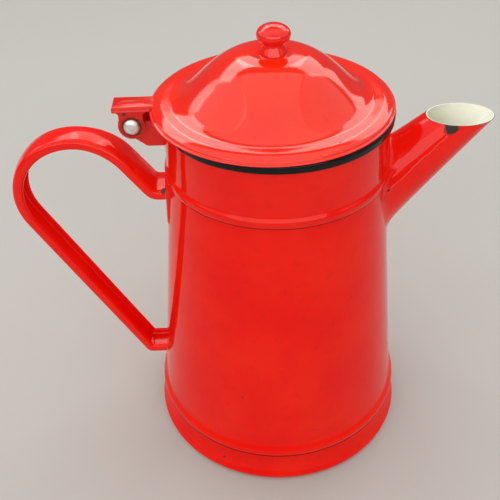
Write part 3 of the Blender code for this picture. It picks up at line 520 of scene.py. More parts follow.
def enamel(name, colour, warm, dark, gloss=0.08, chips=(), pits=0.35, waves=0.00022, band=None,
           shine=0.5, seam=False, under=IRON):
    """Fired glass enamel: uneven colour, a wavy glossy skin, pinholes and chips to the iron.

    A band (height, lean) turns to black above its height, which leans with x.
    """
    shader = Shader(name)
    cloud = shader.noise(CLOUD_SCALE, 3.0, 0.55)
    mottle = shader.noise(MOTTLE_SCALE, 4.0, 0.6)
    base = shader.mix(shader.ramp(cloud, 0.35, 0.70), colour, warm)
    stain = shader.math("MULTIPLY", shader.ramp(mottle, 0.52, 0.85), MOTTLE_SHARE)
    base = shader.mix(stain, base, dark)
    cells = shader.add("ShaderNodeTexVoronoi", feature="F1")
    shader.fill(cells, Vector=shader.place, Scale=PINHOLE_SCALE)
    shade = shader.add("ShaderNodeSeparateColor")
    shader.feed(shade.inputs[0], cells.outputs["Color"])
    rare = shader.ramp(shade.outputs[0], 1 - pits * 0.16, 1 - pits * 0.15, smooth=False)
    hole = shader.ramp(cells.outputs["Distance"], 0.075, 0.03)
    pinhole = shader.math("MULTIPLY", hole, rare)
    chip = pinhole
    if chips:
        chip = shader.math("MAXIMUM", shader.spots(chips), pinhole)
    iron = shader.mix(shader.noise(IRON_SCALE, 3.0, 0.7), *under)
    if band:
        place = shader.add("ShaderNodeSeparateXYZ")
        shader.feed(place.inputs[0], shader.place)
        sway = shader.math("MULTIPLY", shader.noise(BAND_SWAY_SCALE, 3.0, 0.6), BAND_SWAY)
        lean = shader.math("MULTIPLY", place.outputs["X"], band[1])
        height = shader.math("SUBTRACT", shader.math("ADD", place.outputs["Z"], sway), lean)
        base = shader.mix(shader.ramp(height, band[0], band[0] + BAND_EDGE), base, BLACK)
    base = shader.mix(chip, base, iron)
    shader.paint("Base Color", base)
    shader.paint("Specular IOR Level", shine)
    rough = shader.ramp(shader.noise(GLOSS_SCALE, 4.0, 0.65), 0.3, 0.8, gloss * 0.7, gloss * 1.7)
    rough = shader.math("ADD", rough, shader.math("MULTIPLY", chip, CHIP_ROUGHNESS), clamp=True)
    shader.paint("Roughness", rough)
    shader.paint("IOR", ENAMEL_IOR)
    wave = shader.bump(shader.noise(WAVE_SCALE, 1.5, 0.4), waves, 0.9)
    peel = shader.bump(shader.noise(PEEL_SCALE, 2.0, 0.5), PEEL_DEPTH, 0.6, wave)
    if seam:
        peel = shader.bump(seam_line(shader), SEAM_DEPTH, 1.0, peel)
    sunk = shader.bump(shader.math("SUBTRACT", 1.0, chip), CHIP_DEPTH, 1.0, peel)
    shader.paint("Normal", sunk)
    return shader.material


def bare_metal(name, colour, rough):
    """Worn soft metal with fine dents."""
    shader = Shader(name)
    cloud = shader.noise(METAL_CLOUD_SCALE, 4.0, 0.65)
    base = shader.mix(shader.ramp(cloud, 0.45, 0.8), colour, [part * 0.55 for part in colour])
    shader.paint("Base Color", base)
    shader.paint("Metallic", 1.0)
    rough = shader.ramp(cloud, 0.3, 0.8, rough * 0.8, rough * 1.5)
    shader.paint("Roughness", rough)
    dents = shader.bump(shader.noise(DENT_SCALE, 3.0, 0.6), DENT_DEPTH, 0.5)
    shader.paint("Normal", dents)
    return shader.material


red_enamel = enamel("red_enamel", *REDS, chips=WALL_CHIPS, pits=0.15, shine=0.2)
handle_enamel = enamel("handle_enamel", *REDS, gloss=0.12, shine=0.34,
                       chips=((-0.0514, -0.0077, 0.1416, 0.0015),
                              (-0.0508, -0.0060, 0.1375, 0.0007)))
hinge_enamel = enamel("hinge_enamel", (0.66, 0.008, 0.005), (0.78, 0.014, 0.005),
                      (0.16, 0.006, 0.005), gloss=0.10, pits=0.6, shine=0.4, under=RUST,
                      chips=((-0.0624, -0.0066, 0.1738, 0.0047),
                             (-0.0650, -0.0066, 0.1800, 0.0008)))
spout_enamel = enamel("spout_enamel", *REDS, waves=0.0004, shine=0.34,
                      seam=True, under=PITCH,
                      chips=((0.0744, -0.0106, 0.1708, 0.0031),
                             (0.0489, -0.0162, 0.1435, 0.0006)))
lid_enamel = enamel("lid_enamel", (0.91, 0.014, 0.003), (0.95, 0.024, 0.003), RED_DARK, pits=0.1,
                    shine=0.8, chips=((0.0228, -0.0408, 0.1835, 0.0004),))
knob_enamel = enamel("knob_enamel", *REDS, gloss=0.13, shine=0.7,
                     chips=((-0.0030, 0.0012, 0.2151, 0.0009), (-0.0018, -0.0067, 0.2093, 0.0004)))
# Dark red without shine: painted shade for the creases under the laps
crease_shade_enamel = enamel("crease_shade_enamel", (0.16, 0.004, 0.003), (0.22, 0.005, 0.004), (0.05, 0.003, 0.003),
                    gloss=0.3, pits=0.5, shine=0.0)
rivet_metal = bare_metal("rivet_aluminium", (0.90, 0.90, 0.86), 0.42)
cream_enamel = enamel("cream_enamel", (0.90, 0.92, 0.80), (0.91, 0.93, 0.83), (0.78, 0.78, 0.64),
                      gloss=0.13, pits=0.3)
black_enamel = enamel("black_enamel", BLACK, (0.006, 0.006, 0.006), (0.030, 0.026, 0.024),
                      gloss=0.10, pits=0.5, shine=0.25)
neck_enamel = enamel("neck_enamel", *REDS, chips=WALL_CHIPS,
                     band=(RIM_BOTTOM + 0.0001, 0.026), shine=0.28, waves=0.0005)
edge_iron = bare_metal("edge_iron", (0.10, 0.095, 0.085), 0.45)
SKINS = [red_enamel, cream_enamel, crease_shade_enamel]


def base_pan():
    """Pressed base with a round heel, a flared skirt and a collar inside the wall."""

    def collar(height):
        return (cone_radius(height) - SHEET - WIDE_GAP, height)

    heel = WALL_FOOT_RADIUS + BASE_FLARE
    waist = collar(LAP_HEIGHT)
    line = [collar(LAP_HEIGHT + BASE_COLLAR_HEIGHT), waist]
    for share in shares(21)[:-1]:
        line.append((waist[0] + (heel - waist[0]) * share ** BASE_SKIRT_POWER,
                     waist[1] + (BASE_HEEL_RADIUS - waist[1]) * share))
    line += arc((heel - BASE_HEEL_RADIUS, BASE_HEEL_RADIUS), BASE_HEEL_RADIUS, 0, -90, 10)
    line.append((0, 0))
    inner = inset(line, SHEET)
    outline = [(0, inner[-1][1])] + inner[-2::-1] + round_end(inner[0], line[0]) + line
    first_outer = len(outline) - len(line) - 2  # the edge's last two faces are red

    def pick(height, index):
        if index < first_outer:
            return 1
        # The pan's outer face just below the wall's lip takes the painted crease shade
        return 2 if height > LAP_HEIGHT - LAP_SHADE else 0

    return turned("pan", outline, SKINS, pick)


def wall_line():
    """The wall's outer face from its hidden top down to its lapped lip."""
    top = NECK_LAP_HEIGHT + NECK_BEAD_HEIGHT * WALL_HIDDEN_SHARE
    line = []
    for share in shares(24, 0):
        height = top + (WALL_FOOT_HEIGHT - top) * share
        line.append((cone_radius(height), height))
    for share in shares(18):
        height = WALL_FOOT_HEIGHT + (LAP_HEIGHT + SHEET / 2 - WALL_FOOT_HEIGHT) * share
        flare = LIP_FLARE * (1 - math.cos(math.pi * min(share / LIP_FLARE_SHARE, 1))) / 2
        flare -= LIP_TUCK * max(share - LIP_TUCK_SHARE, 0) / (1 - LIP_TUCK_SHARE)
        line.append((cone_radius(height) + flare, height))
    return line


def body_wall():
    """Conical wall with its lapped lip and the strainer holes behind the spout."""
    line = wall_line()
    inner = inset(line, SHEET)
    outline = line + round_end(line[-1], inner[-1]) + inner[::-1] + round_end(inner[0], line[0])

    def pick(_, index):
        if index < len(line) - CREASE_STEPS:
            return 0
        # The lip's last crease steps and its edge take the painted crease shade, its inside is
        # cream
        return 2 if index < len(line) + EDGE_STEPS else 1

    wall = turned("wall", outline, SKINS, pick)
    shape = bmesh.new()
    turn = Vector((0, 0, 1)).rotation_difference(Vector((1, 0, 0))).to_matrix().to_4x4()
    for row, count in enumerate(STRAINER_ROWS):
        height = STRAINER_HEIGHT + (row - 1) * STRAINER_PITCH * STRAINER_ROW_SHARE
        for column in range(count):
            across = (column - (count - 1) / 2) * STRAINER_PITCH
            place = Matrix.Translation((cone_radius(height), across, height)) @ turn
            add_bar(shape, place, STRAINER_HOLE_RADIUS, STRAINER_DRILL, 24)
    carve(wall, finish_mesh("drill", shape, SKINS), "DIFFERENCE")
    wall.data.set_sharp_from_angle(angle=SHARP_ANGLE)
    return wall


def neck_band():
    """Neck band with its bead over the wall and the black rolled rim."""
    bead_top = NECK_LAP_HEIGHT + NECK_BEAD_HEIGHT
    line = [(NECK_RADIUS, RIM_BOTTOM + (bead_top - RIM_BOTTOM) * share) for share in shares(8, 0)]
    for share in shares(24):
        height = NECK_LAP_HEIGHT + NECK_BEAD_HEIGHT * (1 - BEAD_DRAWN_SHARE * share)
        line.append((skin_radius(height), height))
    inner = inset(line, SHEET)
    bore = NECK_RADIUS - SHEET
    rim = arc((bore + RIM_ROLL, RIM_TOP - RIM_ROLL), RIM_ROLL, 180, 90, 8)
    rim += arc((RIM_RADIUS - RIM_ROLL, RIM_TOP - RIM_ROLL), RIM_ROLL, 90, 0, 8)
    rim += arc((RIM_RADIUS - RIM_ROLL / 2, RIM_BOTTOM + RIM_ROLL / 2), RIM_ROLL / 2, 0, -90, 4)
    outline = rim + line + round_end(line[-1], inner[-1]) + inner[:0:-1]

    def pick(height, index):
        if height > RIM_BOTTOM - 0.00001:
            return 2
        if index < len(rim) + len(line) - CREASE_STEPS:
            return 0
        # The bead's last crease steps and its lower edge take the painted crease shade
        return 3 if index < len(rim) + len(line) + EDGE_STEPS else 1

    return turned("neck", outline, [neck_enamel, cream_enamel, black_enamel, crease_shade_enamel], pick)


def spout():
    """Tapered tube with a level mouth, drawn smoothly out of its flange on the wall and neck."""
    run = Vector((SPOUT_REACH, 0, SPOUT_RISE))
    axis = run.normalized()
    across = Vector((0, 1, 0))
    over = axis.cross(across) * -1
    length = run.length
    mouth = SPOUT_ROOT.z + SPOUT_RISE
    side = SPOUT_ROOT_RADIUS + SPOUT_ROOT_SWELL + FLANGE_WIDTH
    middle = SPOUT_ROOT.z - FLANGE_DROP

    def on_tube(distance, angle, depth):
        along = distance / length
        radius = SPOUT_ROOT_RADIUS + (SPOUT_MOUTH_RADIUS - SPOUT_ROOT_RADIUS) * along
        radius += SPOUT_ROOT_SWELL * math.exp(-(along * SPOUT_SWELL_FADE) ** 2)
        spoke = over * math.cos(angle) + across * math.sin(angle)
        return SPOUT_ROOT + axis * distance + spoke * (radius - depth)

    def on_wall(y, z, lift):
        return Vector((reach_at(skin_radius(z) + lift, y), y, z))

    def clear_of_wall(point, lift):
        return math.hypot(point.x, point.y) - skin_radius(point.z) - lift

    def at_wall(angle, depth, lift):
        """Distance along the tube at which its side meets the lifted wall."""
        low, high = -SEARCH_BACK, length
        for _ in range(SEARCH_ROUNDS):
            test = (low + high) / 2
            if clear_of_wall(on_tube(test, angle, depth), lift) > 0:
                high = test
            else:
                low = test
        return high

    def at_mouth(angle, depth, height):
        """Distance along the tube at which its side reaches the height."""
        reach = length
        for _ in range(SEARCH_ROUNDS):
            reach += (height - on_tube(reach, angle, depth).z) / axis.z
        return reach

    lip = MOUTH_SHEET / 2
    profiles = []
    for step in range(SPOUT_STEPS):
        angle = 2 * math.pi * step / SPOUT_STEPS
        top = at_mouth(angle, 0, mouth - lip * MOUTH_ROUND)
        root = at_wall(angle, 0, GAP + FLANGE_SHEET)
        outside = [on_tube(top + (root - top) * share, angle, 0) for share in shares(24, 0)]
        foot = outside[-1]
        toward = Vector((foot.y, foot.z - middle))
        heading = math.atan2(toward.y / FLANGE_HALF_HEIGHT, toward.x / side)
        edge_y = math.cos(heading) * side
        edge_z = middle + math.sin(heading) * FLANGE_HALF_HEIGHT
        flange = []
        for share in shares(8):
            y = foot.y + (edge_y - foot.y) * share
            z = foot.z + (edge_z - foot.z) * share
            lift = (GAP + FLANGE_SHEET) * (1 - share ** 2) - FLANGE_SINK * share
            flange.append(on_wall(y, z, lift))
        line = outside + flange
        for _ in range(BLEND_PASSES):
            line = line[:BLEND_START] + [(line[i - 1] + line[i] * 2 + line[i + 1]) / 4
                                         for i in range(BLEND_START, len(line) - 1)] + line[-1:]
        bore_foot = at_wall(angle, SHEET, GAP)
        under = on_wall(edge_y, edge_z, -FLANGE_BURY)
        inner_top = at_mouth(angle, MOUTH_SHEET, mouth - lip * MOUTH_ROUND)
        inside = [on_tube(bore_foot + (inner_top - bore_foot) * share, angle,
                          SHEET + (MOUTH_SHEET - SHEET) * share ** 3) for share in shares(16, 0)]
        outer_lip, inner_lip = line[0], inside[-1]
        lips = []
        for share in shares(5)[:-1]:
            swing = math.pi * share
            point = (outer_lip + inner_lip) / 2 + (inner_lip - outer_lip) / 2 * -math.cos(swing)
            lips.append(point + Vector((0, 0, lip * MOUTH_ROUND * math.sin(swing))))
        profiles.append(line + [under] + inside + lips[::-1])
    first_inner = len(line) + 1
    first_worn = len(profiles[0]) - 2

    def pick(index):
        if index < first_inner:
            return 0
        return 2 if index >= first_worn else 1

    skins = [spout_enamel, cream_enamel, edge_iron]
    return skinned("spout_tube", profiles, skins, pick, loop=True)


def lid_height(radius):
    """Height of the lid's upper face at a distance from its centre, out to its fold."""
    if radius < DOME_RADIUS:
        swing = math.pi * (radius / DOME_RADIUS) ** DOME_POWER
        return BRIM_RING_HEIGHT + DOME_HEIGHT * (1 + math.cos(swing)) / 2
    fall = max(radius - BRIM_RING_RADIUS, 0) / (BRIM_FOLD_RADIUS - BRIM_RING_RADIUS)
    return BRIM_RING_HEIGHT - BRIM_FALL * fall ** 2


def lid():
    """Bell lid with a level ring, a falling brim and a turned edge, cream beneath."""
    line = [(0, KNOB_SEAT_HEIGHT), (KNOB_SEAT_RADIUS * 0.5, KNOB_SEAT_HEIGHT)]
    for share in shares(40):
        radius = KNOB_SEAT_RADIUS + (DOME_RADIUS - KNOB_SEAT_RADIUS) * share
        line.append((radius, min(lid_height(radius), KNOB_SEAT_HEIGHT + DOME_OVER_SEAT)))
    for share in shares(20):
        radius = DOME_RADIUS + (BRIM_FOLD_RADIUS - DOME_RADIUS) * share
        line.append((radius, lid_height(radius)))
    under = inset(line, THIN_SHEET)
    under[0] = (0, under[0][1])
    slope = 90 - math.degrees(math.atan(2 * BRIM_FALL / (BRIM_FOLD_RADIUS - BRIM_RING_RADIUS)))
    centre = (BRIM_FOLD_RADIUS - BRIM_FOLD_ROUND * math.cos(math.radians(slope)),
              lid_height(BRIM_FOLD_RADIUS) - BRIM_FOLD_ROUND * math.sin(math.radians(slope)))
    line += arc(centre, BRIM_FOLD_ROUND, slope - 8, 6, 8)
    line.append((LID_RADIUS, LID_EDGE_HEIGHT + THIN_SHEET / 2))
    edge = (LID_RADIUS - THIN_SHEET, LID_EDGE_HEIGHT + THIN_SHEET / 2)
    inner = [edge, (edge[0], under[-1][1] - THIN_SHEET * 0.3)] + under[::-1]
    outline = line + round_end(line[-1], edge, LID_EDGE_STEPS) + inner

    def pick(_, index):
        return 0 if index <= len(line) + LID_EDGE_STEPS else 1

    return turned("bell", outline, [lid_enamel, cream_enamel], pick, shift=LID_X)


def lid_ring():
    """Cream ring under the lid that sits inside the neck."""
    top = BRIM_RING_HEIGHT - THIN_SHEET - GAP
    outer = LID_RING_RADIUS
    line = [(outer - LID_RING_FLANGE, top)]
    line += arc((outer - THIN_SHEET, top - THIN_SHEET), THIN_SHEET, 90, 0, 8)
    line.append((outer, LID_RING_FOOT + THIN_SHEET / 2))
    inner = inset(line, THIN_SHEET)
    outline = line + round_end(line[-1], inner[-1], 6) + inner[::-1]
    return turned("ring", outline, [cream_enamel], shift=LID_X)


def knob_rivet():
    """Rivet head under the dome that holds the knob."""
    seat = KNOB_SEAT_HEIGHT - THIN_SHEET - GAP
    line = [(0, seat)] + [(STUD_HEAD_RADIUS * x, seat + STUD_HEAD_HEIGHT * z)
                          for x, z in arc((0, 0), 1, 0, -90, 12)]
    line[-1] = (0, line[-1][1])
    return turned("stud", line, [rivet_metal], steps=SMALL_STEPS, shift=KNOB_X)


def knob():
    """Flattened ball on a waisted foot."""
    foot = KNOB_SEAT_HEIGHT + GAP
    ball = foot + KNOB_HEIGHT - KNOB_BALL_HEIGHT / 2
    line = [(0, ball + KNOB_BALL_HEIGHT / 2)]
    waist = -math.degrees(math.acos(KNOB_WAIST_RADIUS / KNOB_RADIUS))
    for x, z in arc((0, 0), 1, 84, waist, 20):
        line.append((KNOB_RADIUS * x, ball + KNOB_BALL_HEIGHT / 2 * z))
    low = line[-1][1]
    for height_share, spread in KNOB_FOOT_PROFILE:
        line.append((KNOB_WAIST_RADIUS + (KNOB_FOOT_RADIUS - KNOB_WAIST_RADIUS) * spread,
                     foot + (low - foot) * height_share))
    line.append((0, foot))
    return turned("knob", line, [knob_enamel], steps=SMALL_STEPS, shift=KNOB_X)


def rivet():
    """Domed rivet heads on both sides of the strap, on the hinge's axis."""
    head = [(PIN_HEAD_RADIUS * x, PIN_SEAT + PIN_HEAD_HEIGHT * z)
            for x, z in arc((0, 0), 1, 90, 0, 12)]
    head[0] = (0, head[0][1])
    line = head + [(PIN_RADIUS, PIN_SEAT)]
    line += [(radius, -height) for radius, height in reversed(line)]
    pin = turned("rivet", line, [rivet_metal], steps=SMALL_STEPS)
    pin.data.transform(Matrix.Translation(HINGE) @ Matrix.Rotation(math.pi / 2, 4, "X"))
    return pin


def handle_section(spread):
    """The channel across the handle's run, as closed (across, outward) points."""
    half = HANDLE_HALF_WIDTH + spread
    flat = half - HANDLE_CORNER
    side = [(flat * part, -HANDLE_CROWN * part ** 2) for part in (0.33, 0.66)]
    side += arc((flat, -HANDLE_CROWN - HANDLE_CORNER), HANDLE_CORNER, 90, 0, 8)
    roll = HANDLE_ROLL + SHEET / 2
    side += arc((half - roll, roll - HANDLE_DEPTH), roll, 0, -90, 6)
    line = [(-across, out) for across, out in reversed(side)] + [(0, 0)] + side
    inner = inset(line, SHEET)
    return line + round_end(line[-1], inner[-1]) + inner[::-1] + round_end(inner[0], line[0])


def handle_stations():
    """Stations (x, z, heading) along the handle's outer face, between its two feet."""
    x = -cone_radius(HANDLE_TOP_HEIGHT)
    z = HANDLE_TOP_HEIGHT
    heading = 180.0
    stations = [(x, z, heading)]

    def run(length, pieces=1):
        nonlocal x, z
        for _ in range(pieces):
            x += length / pieces * math.cos(math.radians(heading))
            z += length / pieces * math.sin(math.radians(heading))
            stations.append((x, z, heading))

    def bend(radius, turn, steps):
        nonlocal heading
        step = turn / steps
        chord = 2 * radius * math.sin(math.radians(abs(step) / 2))
        for _ in range(steps):
            heading += step / 2
            run(chord)
            heading += step / 2
            stations[-1] = (x, z, heading)

    tighter = (HANDLE_FOOT_BEND - FOOT_CREASE) * math.tan(math.radians(180 - HANDLE_RISE_ANGLE) / 2)
    run(SADDLE_SHEET + HANDLE_FOOT_RUN + tighter)
    bend(FOOT_CREASE, HANDLE_RISE_ANGLE - 180, 8)
    run(HANDLE_RISE_LENGTH + tighter, 4)
    side = math.radians(heading + 90)
    bow = Vector((x, z)) + Vector((math.cos(side), math.sin(side))) * HANDLE_BOW_RADIUS
    heel = Vector((-cone_radius(HANDLE_FOOT_HEIGHT) - HANDLE_HEEL_REACH,
                   HANDLE_FOOT_HEIGHT + HANDLE_HEEL_RADIUS))
    across = heel - bow
    lean = math.asin((HANDLE_BOW_RADIUS - HANDLE_HEEL_RADIUS) / across.length)
    direction = math.degrees(math.atan2(across.y, across.x) + lean) + 360
    bend(HANDLE_BOW_RADIUS, direction - heading, 60)
    run(across.length * math.cos(lean), 16)
    bend(HANDLE_HEEL_RADIUS, 360 - heading, 10)
    run(-cone_radius(z) - x)
    return stations


def saddle_radius(height):
    """Outer radius of the saddle's face at a height."""
    share = (SADDLE_TOP - height) / SADDLE_HEIGHT
    return cone_radius(height) + SADDLE_SHEET + (SADDLE_LOW_SHEET - SADDLE_SHEET) * share


def handle():
    """Pressed channel with rolled edges from the saddle round to the wall."""
    stations = handle_stations()
    rings = []
    distance = 0
    middle = Vector((stations[0][0], 0, stations[0][1]))
    for index, (x, z, heading) in enumerate(stations):
        distance += (Vector((x, 0, z)) - middle).length
        middle = Vector((x, 0, z))
        turn = math.radians(heading)
        outward = Vector((math.sin(turn), 0, -math.cos(turn)))
        share = min(distance / HANDLE_SPREAD_RUN, 1) ** HANDLE_SPREAD_POWER
        spread = HANDLE_FOOT_SPREAD * (1 + math.cos(math.pi * share)) / 2
        ring = [middle + Vector((0, across, 0)) + outward * out
                for across, out in handle_section(spread)]
        if index == 0:
            for point in ring:
                point.x = -reach_at(saddle_radius(point.z) + HANDLE_TOP_GAP, point.y)
        if index == len(stations) - 1:
            for point in ring:
                point.x = -reach_at(cone_radius(point.z) + HANDLE_FOOT_GAP, point.y)
        rings.append(ring)
    return skinned("channel", rings, [handle_enamel])


def saddle():
    """Curved plate under the handle's upper foot, feathered into the wall at its edges."""
    corner = SADDLE_CORNER
    side = SADDLE_HALF_WIDTH - corner
    top = SADDLE_TOP - corner
    low = SADDLE_TOP - SADDLE_HEIGHT + corner
    edge = []
    for turn, place in enumerate(((side, top), (-side, top), (-side, low), (side, low))):
        edge += arc(place, corner, 90 * turn, 90 * turn + 90, 12)
    centre = Vector((0, SADDLE_TOP - SADDLE_HEIGHT / 2))
    fronts = []
    for share in SADDLE_SHARES:
        ring = []
        for point in edge:
            y, z = centre + (Vector(point) - centre) * share
            fall = max((share - SADDLE_FEATHER) / (1 - SADDLE_FEATHER), 0)
            lift = (saddle_radius(z) - cone_radius(z)) * math.sqrt(max(1 - fall ** 2, 0))
            lift -= SADDLE_SINK * share
            ring.append(Vector((-reach_at(cone_radius(z) + lift, y), y, z)))
        fronts.append(ring)
    back = []
    for point in edge:
        y, z = centre + (Vector(point) - centre) * SADDLE_SHARES[0]
        back.append(Vector((-reach_at(cone_radius(z) - SADDLE_BACK, y), y, z)))
    return skinned("plate", fronts + [back], [red_enamel])


def prism(name, points, direction):
    """A block for the hinge: a flat outline of 3D points drawn out along a direction."""
    shape = bmesh.new()
    base = shape.faces.new([shape.verts.new(point) for point in points])
    grown = bmesh.ops.extrude_face_region(shape, geom=[base])
    moved = [part for part in grown["geom"] if isinstance(part, bmesh.types.BMVert)]
    bmesh.ops.translate(shape, verts=moved, vec=direction)
    return finish_mesh(name, shape, [hinge_enamel])


def side_block(outline):
    """A block across the whole hinge with the (x, z) outline as its side."""
    return prism("side", [(x, -CUT_REACH, z) for x, z in outline], Vector((0, 2 * CUT_REACH, 0)))


def carve(item, other, operation):
    """Cut or intersect the item with another one, which is used up."""
    change = item.modifiers.new(operation.lower(), "BOOLEAN")
    change.operation = operation
    change.solver = "EXACT"
    change.object = other
    settle(item)
    bpy.data.objects.remove(other)


def settle(item):
    """Turn the item's modifiers into plain mesh."""
    graph = bpy.context.evaluated_depsgraph_get()
    mesh = bpy.data.meshes.new_from_object(item.evaluated_get(graph))
    item.modifiers.clear()
    item.data = mesh


def soften(item, width):
    """Round the item's sharp edges and shade it smooth."""
    shape = bmesh.new()
    shape.from_mesh(item.data)
    bmesh.ops.remove_doubles(shape, verts=shape.verts, dist=WELD_DISTANCE)
    bmesh.ops.dissolve_limit(shape, angle_limit=FLAT_ANGLE, verts=shape.verts, edges=shape.edges)
    shape.to_mesh(item.data)
    shape.free()
    edge = item.modifiers.new("edge", "BEVEL")
    edge.width = width
    edge.segments = BEVEL_STEPS
    edge.limit_method = "ANGLE"
    edge.angle_limit = SHARP_ANGLE
    edge.use_clamp_overlap = True
    settle(item)
    item.data.shade_smooth()
    item.data.set_sharp_from_angle(angle=BEVEL_SHARP_ANGLE)
    return item


def hinge_drill():
    """A drilling bar on the hinge's axis, for the rivet's holes."""
    shape = bmesh.new()
    place = Matrix.Translation(HINGE) @ Matrix.Rotation(math.pi / 2, 4, "X")
    add_bar(shape, place, PIN_RADIUS + GAP, HINGE_BAR_LENGTH, 48)
    return finish_mesh("drill", shape, [hinge_enamel])


def strap_side():
    """The strap seen from the side, as (x, z) points."""
    fold = HINGE.z + STRAP_TOP
    left = HINGE.x - STRAP_CHEEK
    right = HINGE.x + STRAP_CHEEK
    lip = left - STRAP_LIP
    root = LID_X - LID_RADIUS + STRAP_ROOT
    under = fold - STRAP_LIP_DROP
    # The small lengths ease the corners
    outline = [(root, fold + 0.003), (lip + 0.0006, fold + 0.003), (lip + 0.0003, fold),
               (lip, fold - 0.0006), (lip + 0.0004, under), (left - 0.0008, under),
               (left, under - 0.0009)]
    outline += arc((HINGE.x, HINGE.z), STRAP_EAR, 152, 388, 36)
    outline += [(right, under - 0.0012), (right + 0.0010, under), (root, fold - 0.0010)]
    return outline


def lid_strap():
    """Pressed strap behind the lid: thumb lip and two cheeks on the rivet; strap_bead adds its
    stiffening bead.
    """
    top = HINGE.z + STRAP_TOP
    low = HINGE.z - STRAP_EAR * 2
    corner = STRAP_HALF_WIDTH - STRAP_BEND
    line = [(-STRAP_HALF_WIDTH, low)]
    line += arc((-corner, top - STRAP_BEND), STRAP_BEND, 180, 90, 14)
    line += arc((corner, top - STRAP_BEND), STRAP_BEND, 90, 0, 14)
    line.append((STRAP_HALF_WIDTH, low))
    section = line + inset(line, THIN_SHEET)[::-1]
    strap = prism("strap", [(HINGE.x - CUT_REACH, y, z) for y, z in section],
                  Vector((2 * CUT_REACH, 0, 0)))
    carve(strap, side_block(strap_side()), "INTERSECT")
    carve(strap, hinge_drill(), "DIFFERENCE")
    edge = [(0, LID_EDGE_HEIGHT + LID_CUT_HEIGHT)]
    inside = DOME_RADIUS - LID_CUT_INSET
    for share in shares(20, 0):
        radius = inside + (BRIM_FOLD_RADIUS - inside) * share
        edge.append((radius, lid_height(radius)))
    edge += [(LID_RADIUS, lid_height(BRIM_FOLD_RADIUS) - BRIM_FOLD_ROUND),
             (LID_RADIUS, LID_EDGE_HEIGHT - CUT_MARGIN), (0, LID_EDGE_HEIGHT - CUT_MARGIN)]
    carve(strap, turned("dome", edge, [hinge_enamel], shift=LID_X), "DIFFERENCE")
    return soften(strap, STRAP_EDGE_ROUND)


def strap_bead():
    """The stiffening bead pressed up along the strap."""
    top = HINGE.z + STRAP_TOP
    rings = []
    half = STRAP_BEAD_LENGTH / 2
    for place in shares(8, -8):
        ring = []
        reach = max(1 - place ** 4, 0) ** 0.5
        for share in shares(12, 0):
            angle = math.pi * share
            y = STRAP_BEAD_HALF_WIDTH * reach * math.cos(angle)
            lift = STRAP_BEAD_PROUD * reach * math.sin(angle) ** 1.5
            ring.append(Vector((HINGE.x - STRAP_BEAD_SHIFT + half * place, y,
                                top + lift - STRAP_BEAD_SINK)))
        rings.append(ring)
    return skinned("bead", rings, [hinge_enamel], caps=False)


def hinge_bracket():
    """Folded bracket on the neck whose two ears carry the rivet."""
    outside = STRAP_HALF_WIDTH - THIN_SHEET - BRACKET_PLAY
    end = HINGE.x - BRACKET_EAR - CUT_MARGIN
    web = -(NECK_RADIUS + GAP + SHEET)
    inside = outside - SHEET
    slot = arc((web - SHEET, inside - SHEET), SHEET, 90, 0, 8)
    upper = [(web + CUT_MARGIN, outside), (end, outside), (end, inside)] + slot
    plan = upper + [(x, -y) for x, y in reversed(upper)]
    low = HINGE.z - BRACKET_FOOT_DROP
    bracket = prism("bracket", [(x, y, low - CUT_MARGIN) for x, y in plan],
                    Vector((0, 0, BRACKET_BLOCK_HEIGHT)))
    shoulder = HINGE.x + (web - HINGE.x) * BRACKET_SHOULDER
    top = RIM_BOTTOM - WIDE_GAP
    ear = arc((HINGE.x, HINGE.z), BRACKET_EAR, 45, 270, 34)
    outline = [(-NECK_RADIUS + CUT_MARGIN, top), (HINGE.x + BRACKET_EAR, top)] + ear
    outline += [(shoulder - 0.0012, low + 0.0004), (shoulder, low)]
    outline.append((-NECK_RADIUS + CUT_MARGIN, low))
    carve(bracket, side_block(outline), "INTERSECT")
    skin = [(0, RIM_TOP), (skin_radius(RIM_TOP), RIM_TOP)]
    for share in shares(20):
        height = RIM_TOP - CORE_DEPTH * share
        skin.append((skin_radius(height) - BRACKET_SINK, height))
    skin.append((0, skin[-1][1]))
    carve(bracket, turned("core", skin, [hinge_enamel]), "DIFFERENCE")
    carve(bracket, hinge_drill(), "DIFFERENCE")
    return soften(bracket, BRACKET_EDGE_ROUND)


stand_for(base_pan(), "pot", "red_enamel", "base_pan")
stand_for(body_wall(), "pot", "red_enamel", "body_wall")
stand_for(neck_band(), "pot", "red_enamel", "neck_band")
stand_for(spout(), "pot", "red_enamel", "spout")
stand_for(handle(), "pot", "red_enamel", "handle")
stand_for(saddle(), "pot", "red_enamel", "handle_saddle")
stand_for(rivet(), "pot", "rivet_aluminium", "hinge_rivet")
stand_for(hinge_bracket(), "pot", "hinge_enamel", "hinge_bracket")
stand_for(lid_strap(), "lid", "hinge_enamel", "lid_strap")
stand_for(strap_bead(), "lid", "hinge_enamel", "lid_strap")
stand_for(lid(), "lid", "red_enamel", "lid")
stand_for(knob(), "lid", "red_enamel", "lid_knob")
stand_for(lid_ring(), "lid", "cream_enamel", "lid_ring")
stand_for(knob_rivet(), "lid", "rivet_aluminium", "knob_rivet")


def floor():
    """A wide pale matt floor under the pot."""
    shader = Shader("floor")
    tone = shader.mix(shader.noise(FLOOR_CLOUD_SCALE, 3.0, 0.5), *FLOOR_TONES)
    shader.paint("Base Color", tone)
    shader.paint("Roughness", FLOOR_ROUGHNESS)
    grain = shader.bump(shader.noise(FLOOR_GRAIN_SCALE, 2.0), FLOOR_GRAIN_DEPTH, 0.3)
    shader.paint("Normal", grain)
    shape = bmesh.new()
    shape.faces.new([shape.verts.new((x * FLOOR_REACH, y * FLOOR_REACH, 0)) for x, y in
                     ((-1, -1), (1, -1), (1, 1), (-1, 1))])
    finish_mesh("floor", shape, [shader.material])


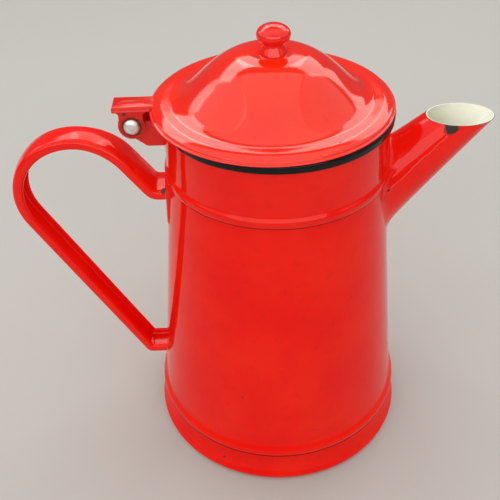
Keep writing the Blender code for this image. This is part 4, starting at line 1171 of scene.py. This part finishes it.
def lamp(name, azimuth, elevation, across, upright, radiance):
    """A rectangular soft lamp facing the pot, placed and sized by angles.

    Azimuth 0 is behind the pot and 90 at its right.
    """
    turn, rise = math.radians(azimuth), math.radians(elevation)
    away = Vector((math.sin(turn) * math.cos(rise), math.cos(turn) * math.cos(rise),
                   math.sin(rise)))
    place = AIM + away * LAMP_DISTANCE
    width = 2 * LAMP_DISTANCE * math.tan(math.radians(across / 2))
    height = 2 * LAMP_DISTANCE * math.tan(math.radians(upright / 2))
    data = bpy.data.lights.new(name, "AREA")
    data.shape = "RECTANGLE"
    data.size = width
    data.size_y = height
    data.energy = radiance * 4 * width * height
    data.color = LAMP_COLOUR
    made = bpy.data.objects.new(name, data)
    made.location = place
    made.rotation_euler = (AIM - place).to_track_quat("-Z", "Y").to_euler()
    bpy.context.scene.collection.objects.link(made)


floor()
lamp("window_left", -35, 43, 34, 17, 2.4)
lamp("window_middle", 2, 41, 33, 20, 1.75)
lamp("window_right", 36, 39, 28, 24, 1.9)
lamp("window_left_low", -55, 25, 11, 15, 1.8)
lamp("window_right_low", 46, 21, 12, 12, 1.7)
lamp("side_left", -94, 40, 66, 45, 0.75)
lamp("side_right", 90, 39, 60, 45, 0.55)
lamp("ceiling", 180, 88, 56, 56, 0.72)
lamp("front", 182, 30, 84, 34, 1.6)
world = bpy.data.worlds.new("studio")
world.use_nodes = True
world.node_tree.nodes["Background"].inputs["Color"].default_value = SKY_COLOUR
world.node_tree.nodes["Background"].inputs["Strength"].default_value = SKY_STRENGTH
bpy.context.scene.world = world
bpy.context.scene.view_settings.view_transform = "Standard"

# The photograph's viewpoint
camera_data = bpy.data.cameras.new("camera")
camera_data.sensor_width = SENSOR_WIDTH
camera_data.lens = LENS
camera = bpy.data.objects.new("camera", camera_data)
ahead = Vector((0, math.cos(ELEVATION), -math.sin(ELEVATION)))
side_on = Vector((1, 0, 0))
above = side_on.cross(ahead)
right = side_on * math.cos(ROLL) + above * math.sin(ROLL)
top = above * math.cos(ROLL) - side_on * math.sin(ROLL)
turn = Matrix((right, top, -ahead)).transposed().to_4x4()
camera.matrix_world = Matrix.Translation(CAMERA_PLACE) @ turn
bpy.context.scene.collection.objects.link(camera)
bpy.context.scene.camera = camera
